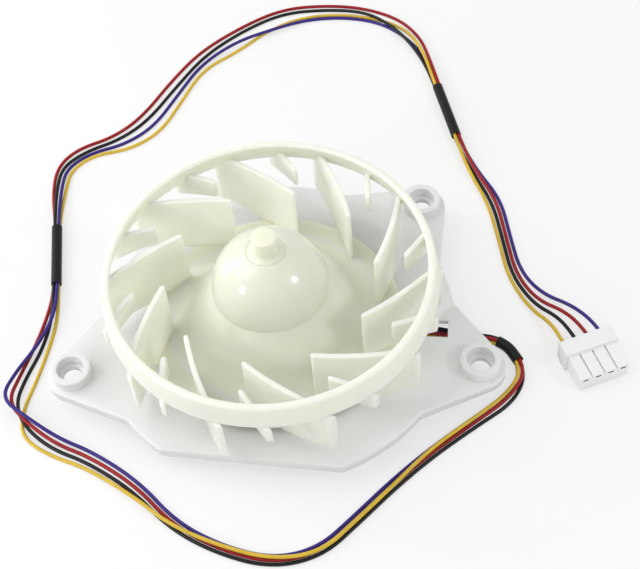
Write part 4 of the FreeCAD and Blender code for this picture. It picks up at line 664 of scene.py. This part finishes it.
def blade_mesh(name, look, tip, line):
    """One upright blade: bowed, round at its inner edge, with a shoulder that fits in the ring."""
    thick = look.blade_thickness / MM
    start, end = along_at(tip), along_at(BLADE_REACH)
    middle = (start + end) / 2
    centre = math.sqrt(BLADE_CURVE ** 2 - ((end - start) / 2) ** 2)
    nose = NOSE_SHARE * thick
    rim = along_at(BLADE_RIM)

    def bow(along):
        return math.sqrt(BLADE_CURVE ** 2 - (along - middle) ** 2) - centre

    stations = []
    for turn in NOSE_ANGLES:
        along = start + nose * (1 - math.cos(math.radians(turn)))
        half = max(NOSE_HALF, thick / 2 * math.sin(math.radians(turn)))
        stations.append([(along, side * half - bow(along), BLADE_TOP) for side in (-1, 1)])
    for step in range(1, BLADE_SECTIONS + 1):
        along = start + nose + (rim - start - nose) * step / BLADE_SECTIONS
        stations.append([(along, side * thick / 2 - bow(along), BLADE_TOP) for side in (-1, 1)])
    for radius in (BLADE_SHOULDER, BLADE_END):
        station = []
        for side in (-thick / 2, thick / 2):
            side -= bow(along_at(radius, side))
            station.append((along_at(radius, side), side, BLADE_STEP))
        stations.append(station)
    mesh = bmesh.new()
    rows = []
    for station in stations:
        row = []
        for along, side, top in station:
            out = BLADE_TIP + along * math.cos(BLADE_LEAN) - side * math.sin(BLADE_LEAN)
            across = along * math.sin(BLADE_LEAN) + side * math.cos(BLADE_LEAN)
            for z in (underside(line, math.hypot(out, across)), top):
                row.append(mesh.verts.new((out * MM, across * MM, z * MM)))
        rows.append(row)
    for (a, b, c, d), (e, f, g, h) in zip(rows, rows[1:]):
        for corners in ((a, e, f, b), (c, d, h, g), (b, f, h, d), (a, c, g, e)):
            mesh.faces.new(corners)
    mesh.faces.new((rows[0][0], rows[0][1], rows[0][3], rows[0][2]))
    mesh.faces.new((rows[-1][0], rows[-1][2], rows[-1][3], rows[-1][1]))
    bmesh.ops.recalc_face_normals(mesh, faces=mesh.faces)
    return finished_object(name, mesh)


def blade_ring_tree():
    """Repeats the incoming blade round the Z axis: inputs for how many, the first angle and the finish."""
    tree = bpy.data.node_groups.new("Blade Ring", "GeometryNodeTree")
    face = tree.interface
    face.new_socket("Blade", in_out="INPUT", socket_type="NodeSocketGeometry")
    count = face.new_socket("Count", in_out="INPUT", socket_type="NodeSocketInt")
    first = face.new_socket("First Angle", in_out="INPUT", socket_type="NodeSocketFloat")
    finish = face.new_socket("Finish", in_out="INPUT", socket_type="NodeSocketMaterial")
    face.new_socket("Blades", in_out="OUTPUT", socket_type="NodeSocketGeometry")
    nodes = {kind: tree.nodes.new(kind) for kind in (
        "NodeGroupInput", "NodeGroupOutput", "GeometryNodePoints", "GeometryNodeInstanceOnPoints",
        "GeometryNodeRealizeInstances", "GeometryNodeSetMaterial", "GeometryNodeInputIndex",
        "ShaderNodeCombineXYZ")}
    share = tree.nodes.new("ShaderNodeMath")
    share.operation = "DIVIDE"
    turn = tree.nodes.new("ShaderNodeMath")
    turn.operation = "ADD"
    step = tree.nodes.new("ShaderNodeMath")
    step.operation = "MULTIPLY"
    step.inputs[1].default_value = math.tau
    given, made = nodes["NodeGroupInput"], nodes["NodeGroupOutput"]
    points, instances = nodes["GeometryNodePoints"], nodes["GeometryNodeInstanceOnPoints"]
    real, painted = nodes["GeometryNodeRealizeInstances"], nodes["GeometryNodeSetMaterial"]
    angle = nodes["ShaderNodeCombineXYZ"]
    for source, target in (
        (given.outputs["Count"], points.inputs["Count"]),
        (nodes["GeometryNodeInputIndex"].outputs["Index"], step.inputs[0]),
        (step.outputs[0], share.inputs[0]),
        (given.outputs["Count"], share.inputs[1]),
        (share.outputs[0], turn.inputs[0]),
        (given.outputs["First Angle"], turn.inputs[1]),
        (turn.outputs[0], angle.inputs["Z"]),
        (points.outputs[0], instances.inputs["Points"]),
        (given.outputs["Blade"], instances.inputs["Instance"]),
        (angle.outputs[0], instances.inputs["Rotation"]),
        (instances.outputs[0], real.inputs[0]),
        (real.outputs[0], painted.inputs["Geometry"]),
        (given.outputs["Finish"], painted.inputs["Material"]),
        (painted.outputs[0], made.inputs["Blades"]),
    ):
        wire_node(tree, source, target)
    return tree, {"count": count.identifier, "first": first.identifier, "finish": finish.identifier}


def keep_shown(piece):
    """Make the modifiers' result the piece's own mesh."""
    seen = piece.evaluated_get(bpy.context.evaluated_depsgraph_get())
    made = bpy.data.meshes.new_from_object(seen)
    piece.modifiers.clear()
    piece.data = made
    return piece


def blade_ring(name, look, tree, sockets, finish, tip, line, first):
    """Round one blade's edges, then repeat it round the axis."""
    piece = blade_mesh(name, look, tip, line)
    rounding = piece.modifiers.new("Edges", "BEVEL")
    rounding.width = look.edge
    rounding.segments = 3
    rounding.limit_method = "ANGLE"
    rounding.angle_limit = math.radians(BLADE_ROUND_ANGLE)
    repeat = piece.modifiers.new("Blade ring", "NODES")
    repeat.node_group = tree
    repeat[sockets["count"]] = look.blade_pairs
    repeat[sockets["first"]] = first
    repeat[sockets["finish"]] = finish
    return keep_shown(piece)


def soft_shading_tree():
    """Shades a skin smooth but for the edges that are sharper than an angle."""
    tree = bpy.data.node_groups.new("Soft Shading", "GeometryNodeTree")
    face = tree.interface
    face.new_socket("Skin", in_out="INPUT", socket_type="NodeSocketGeometry")
    face.new_socket("Sharp Angle", in_out="INPUT", socket_type="NodeSocketFloat")
    face.new_socket("Smooth Skin", in_out="OUTPUT", socket_type="NodeSocketGeometry")
    given = tree.nodes.new("NodeGroupInput")
    made = tree.nodes.new("NodeGroupOutput")
    angle = tree.nodes.new("GeometryNodeInputMeshEdgeAngle")
    shallow = tree.nodes.new("FunctionNodeCompare")
    shallow.data_type = "FLOAT"
    shallow.operation = "LESS_EQUAL"
    faces = tree.nodes.new("GeometryNodeSetShadeSmooth")
    faces.domain = "FACE"
    edges = tree.nodes.new("GeometryNodeSetShadeSmooth")
    edges.domain = "EDGE"
    for source, target in (
        (angle.outputs["Unsigned Angle"], shallow.inputs[0]),
        (given.outputs["Sharp Angle"], shallow.inputs[1]),
        (given.outputs["Skin"], faces.inputs["Geometry"]),
        (faces.outputs["Geometry"], edges.inputs["Geometry"]),
        (shallow.outputs["Result"], edges.inputs["Shade Smooth"]),
        (edges.outputs["Geometry"], made.inputs["Smooth Skin"]),
    ):
        wire_node(tree, source, target)
    return tree


def soft_shading(piece, degrees, edge):
    """Merge, round and smooth a CAD node's skin without touching its mesh."""
    tree = bpy.data.node_groups.get("Soft Shading") or soft_shading_tree()
    sharp = next(item.identifier for item in tree.interface.items_tree if item.name == "Sharp Angle")
    weld = piece.modifiers.new("Weld", "WELD")
    weld.merge_threshold = CAD_MERGE
    if edge > 0:
        rounding = piece.modifiers.new("Edges", "BEVEL")
        rounding.width = edge
        rounding.segments = 2
        rounding.limit_method = "ANGLE"
        rounding.angle_limit = math.radians(CAD_ROUND_ANGLE)
    smooth = piece.modifiers.new("Soft shading", "NODES")
    smooth.node_group = tree
    smooth[sharp] = math.radians(degrees)


def paint(node, finish, degrees=CAD_SHARP_ANGLE, edge=0.0):
    """Give a CAD node its finish, smooth shading up to an angle, and edges of a rounded width."""
    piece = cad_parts[node]
    if not piece.data.materials:
        piece.data.materials.append(finish)
    for place in piece.material_slots:
        place.link = "OBJECT"
        place.material = finish
    soft_shading(piece, degrees, edge)


class FAN_OT_impeller(bpy.types.Operator):
    """Make the one-piece impeller: turned hub and ring, joined by its long and short blades"""

    bl_idname = "fan_motor.impeller"
    bl_label = "Impeller"

    def execute(self, context):
        look = context.scene.fan_impeller
        finish = natural_plastic(look)
        tree, sockets = blade_ring_tree()
        step = math.tau / look.blade_pairs
        hub = turned_mesh("impeller_moulding", hub_profile(), closed=False)
        hub.data.materials.append(finish)
        parts = [
            turned_mesh("impeller_ring", ring_profile(), closed=True),
            blade_ring("long_blades", look, tree, sockets, finish, BLADE_TIP, LONG_UNDERSIDE,
                       BLADE_TIP_ANGLE),
            blade_ring("short_blades", look, tree, sockets, finish, SHORT_BLADE_TIP, SHORT_UNDERSIDE,
                       BLADE_TIP_ANGLE - step / 2 - SHORT_BLADE_LAG),
        ]
        for part in parts:
            union = hub.modifiers.new(part.name, "BOOLEAN")
            union.operation = "UNION"
            union.solver = "MANIFOLD"
            union.object = part
        keep_shown(hub)
        for part in parts:
            bpy.data.objects.remove(part)
        hub.data.materials.clear()
        hub.data.materials.append(finish)
        hub.data.polygons.foreach_set("use_smooth", [True] * len(hub.data.polygons))
        hub.data.set_sharp_from_angle(angle=math.radians(HUB_SHARP_ANGLE))
        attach(hub, "rotor")
        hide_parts("impeller")
        return {"FINISHED"}


class FAN_OT_plate(bpy.types.Operator):
    """Finish the white mounting plate, the dark cover under it and its screws"""

    bl_idname = "fan_motor.plate"
    bl_label = "Mounting plate and cover"

    def execute(self, context):
        look = context.scene.fan_plate
        white = white_plastic("white_plastic", look.plate)
        dark = dark_plastic("cover_plastic", look.cover)
        paint("mounting_plate", white, degrees=35, edge=look.edge)
        paint("back_cover", dark, degrees=35, edge=look.edge)
        paint("cover_screws", metal("zinc_screw", (0.62, 0.62, 0.6), 0.35))
        return {"FINISHED"}


class FAN_OT_motor(bpy.types.Operator):
    """Finish the board, the bearings, the wound core and the turning parts"""

    bl_idname = "fan_motor.motor"
    bl_label = "Motor parts"

    def execute(self, context):
        # The grain of turned metal runs along the shaft, and that of the stacked core across it.
        along = (1, 1, 0.05)
        across = (0.05, 0.05, 1)
        black = dark_plastic("chip_plastic", (0.02, 0.02, 0.021), 0.5)
        bronze = metal("sintered_bronze", (0.46, 0.31, 0.19), 0.55, scale=2500)
        wear = dark_plastic("bearing_plastic", (0.14, 0.14, 0.15), 0.4)
        end_plate = white_plastic("insulator_plastic", (0.72, 0.69, 0.6))
        zinc = metal("zinc_plate", (0.6, 0.61, 0.62), 0.32, along)
        tin = metal("tin_plate", (0.76, 0.75, 0.72), 0.25, along)
        finishes = {
            "circuit_board": dark_plastic("board_lacquer", (0.015, 0.12, 0.05), 0.35),
            "driver_chip": black,
            "hall_sensor": black,
            "capacitor": metal("can_aluminium", (0.72, 0.73, 0.75), 0.3),
            "board_socket": white_plastic("socket_plastic", (0.75, 0.74, 0.7)),
            "bearing_tube": zinc,
            "lower_bearing": bronze,
            "upper_bearing": bronze,
            "thrust_pad": wear,
            "thrust_washer": wear,
            "retaining_ring": metal("spring_steel", (0.3, 0.3, 0.32), 0.4),
            "shaft": metal("ground_steel", (0.75, 0.75, 0.76), 0.15, along),
            "stator_core": metal("core_steel", (0.38, 0.39, 0.41), 0.45, across, 2000),
            "lower_insulator": end_plate,
            "upper_insulator": end_plate,
            "winding_pins": tin,
            "coil_windings": copper_winding("copper_winding", (0.62, 0.25, 0.1)),
            "rotor_yoke": zinc,
            "rotor_magnet": dark_plastic("ferrite", (0.06, 0.06, 0.062), 0.6),
            "shaft_bushing": metal("brass", (0.68, 0.5, 0.2), 0.28, along),
        }
        for node, finish in finishes.items():
            paint(node, finish)
        return {"FINISHED"}


class FAN_OT_lead(bpy.types.Operator):
    """Lay the four wires of the lead and finish their sleeves"""

    bl_idname = "fan_motor.lead"
    bl_label = "Wires and sleeves"

    def execute(self, context):
        look = context.scene.fan_lead
        sleeve = shrink_sleeve("shrink_sleeve", look.sleeve)
        sleeves = ("sleeve_exit", "sleeve_left", "sleeve_top")
        for node in sleeves:
            paint(node, sleeve, degrees=40)
        for node, points in ROUTES.items():
            wire = self.lay(node, points, look.diameter)
            wire.data.materials.append(wire_jacket(WIRE_SLOTS[node], getattr(look, node)))
            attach(wire, "frame")
            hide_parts(node)
        return {"FINISHED"}

    def lay(self, node, points, diameter):
        """A round wire along a smooth curve that follows the points."""
        curve = bpy.data.curves.new(f"{node}_jacket", "CURVE")
        curve.dimensions = "3D"
        spline = curve.splines.new("NURBS")
        spline.points.add(len(points) - 1)
        for place, point in zip(spline.points, points):
            place.co = (*point, 1)
        spline.order_u = 3
        spline.use_endpoint_u = True
        spline.use_smooth = True
        curve.resolution_u = 10
        curve.bevel_depth = diameter / 2
        curve.bevel_resolution = 5
        curve.use_fill_caps = True
        wire = bpy.data.objects.new(f"{node}_jacket", curve)
        bpy.context.scene.collection.objects.link(wire)
        return wire


class FAN_OT_connector(bpy.types.Operator):
    """Finish the connector's housing and the contacts in it"""

    bl_idname = "fan_motor.connector"
    bl_label = "Connector"

    def execute(self, context):
        look = context.scene.fan_lead
        paint("connector_housing", connector_plastic(look.connector), edge=CONNECTOR_EDGE)
        # The contacts are painted much darker than bare tin: painted shade for their place deep inside the
        # mouths.
        paint("connector_terminals", metal("contact_tin", (0.35, 0.34, 0.32), 0.35))
        return {"FINISHED"}


class FAN_OT_stage(bpy.types.Operator):
    """Set the camera at the photograph's viewpoint over a plain pale floor in soft light"""

    bl_idname = "fan_motor.stage"
    bl_label = "Camera, floor and light"

    def execute(self, context):
        look = context.scene.fan_stage
        self.camera(context)
        self.floor(look)
        self.sky(context, look)
        for name, (share, width, depth, place) in LAMPS.items():
            self.lamp(name, look.key_power * share, width, depth, place)
        return {"FINISHED"}

    def camera(self, context):
        """Look from the photograph's viewpoint."""
        camera = bpy.data.objects.new("camera", bpy.data.cameras.new("camera"))
        right, up = Vector(CAMERA_RIGHT), Vector(CAMERA_UP)
        back = right.cross(up)
        turn = Matrix((right, up, back)).transposed().to_4x4()
        camera.matrix_world = Matrix.Translation(CAMERA_PLACE) @ turn
        camera.data.lens = CAMERA_LENS
        camera.data.clip_start = 0.01
        context.scene.collection.objects.link(camera)
        context.scene.camera = camera

    def floor(self, look):
        """A level floor that takes shadows and shows partly as white paper."""
        mesh = bmesh.new()
        bmesh.ops.create_grid(mesh, x_segments=1, y_segments=1, size=FLOOR_REACH)
        floor = finished_object("floor", mesh)
        finish, tree, shader = new_finish("floor_paint", look.floor, 0.9)
        shader.inputs["Specular IOR Level"].default_value = 0.0
        shade(tree, cloudiness(tree, 3), shader.inputs["Base Color"], look.floor, 0.004)
        paper = tree.nodes.new("ShaderNodeEmission")
        paper.inputs["Strength"].default_value = 1.0
        share = tree.nodes.new("ShaderNodeMath")
        share.operation = "MULTIPLY"
        share.inputs[1].default_value = look.backdrop
        pick = tree.nodes.new("ShaderNodeMixShader")
        wire_node(tree, seen_directly(tree), share.inputs[0])
        wire_node(tree, share.outputs[0], pick.inputs["Fac"])
        wire_node(tree, shader.outputs[0], pick.inputs[1])
        wire_node(tree, paper.outputs[0], pick.inputs[2])
        wire_node(tree, pick.outputs[0], tree.nodes["Material Output"].inputs["Surface"])
        floor.data.materials.append(finish)

    def sky(self, context, look):
        """Even light from all round, which the camera sees as plain white."""
        world = bpy.data.worlds.new("sky")
        world.use_nodes = True
        tree = world.node_tree
        light = tree.nodes["Background"]
        light.inputs["Color"].default_value = (1, 1, 1, 1)
        light.inputs["Strength"].default_value = look.sky
        seen = tree.nodes.new("ShaderNodeBackground")
        seen.inputs["Strength"].default_value = 1.0
        pick = tree.nodes.new("ShaderNodeMixShader")
        wire_node(tree, seen_directly(tree), pick.inputs["Fac"])
        wire_node(tree, light.outputs[0], pick.inputs[1])
        wire_node(tree, seen.outputs[0], pick.inputs[2])
        wire_node(tree, pick.outputs[0], tree.nodes["World Output"].inputs["Surface"])
        context.scene.world = world

    def lamp(self, name, power, width, depth, place):
        """A soft rectangular lamp that points at the motor."""
        data = bpy.data.lights.new(name, "AREA")
        data.shape = "RECTANGLE"
        data.size = width
        data.size_y = depth
        data.energy = power
        lamp = bpy.data.objects.new(name, data)
        lamp.location = place
        way = Vector(LAMP_TARGET) - Vector(place)
        lamp.rotation_mode = "QUATERNION"
        lamp.rotation_quaternion = way.to_track_quat("-Z", "Y")
        bpy.context.scene.collection.objects.link(lamp)


class FAN_PT_panel(bpy.types.Panel):
    """The fan motor's sizes, colours and steps."""

    bl_idname = "FAN_PT_panel"
    bl_label = "Fan Motor"
    bl_space_type = "VIEW_3D"
    bl_region_type = "UI"
    bl_category = "Fan Motor"

    def draw(self, context):
        for group in GROUPS:
            look = getattr(context.scene, group)
            box = self.layout.box()
            for name in type(look).__annotations__:
                box.prop(look, name)
        for operator in OPERATORS:
            self.layout.operator(operator.bl_idname)


GROUPS = {
    "fan_impeller": FanImpellerLook,
    "fan_plate": FanPlateLook,
    "fan_lead": FanLeadLook,
    "fan_stage": FanStageLook,
}
OPERATORS = (
    FAN_OT_stage, FAN_OT_lead, FAN_OT_connector, FAN_OT_plate, FAN_OT_motor, FAN_OT_impeller,
)


def register():
    for kind in (*GROUPS.values(), *OPERATORS, FAN_PT_panel):
        bpy.utils.register_class(kind)
    for name, kind in GROUPS.items():
        setattr(bpy.types.Scene, name, PointerProperty(type=kind))


def unregister():
    for name in GROUPS:
        delattr(bpy.types.Scene, name)
    for kind in (FAN_PT_panel, *reversed(OPERATORS), *reversed(GROUPS.values())):
        bpy.utils.unregister_class(kind)


def main():
    register()
    bpy.context.scene.view_settings.view_transform = "Standard"
    for operator in OPERATORS:
        group, name = operator.bl_idname.split(".")
        getattr(getattr(bpy.ops, group), name)()


if __name__ == "__main__":
    main()
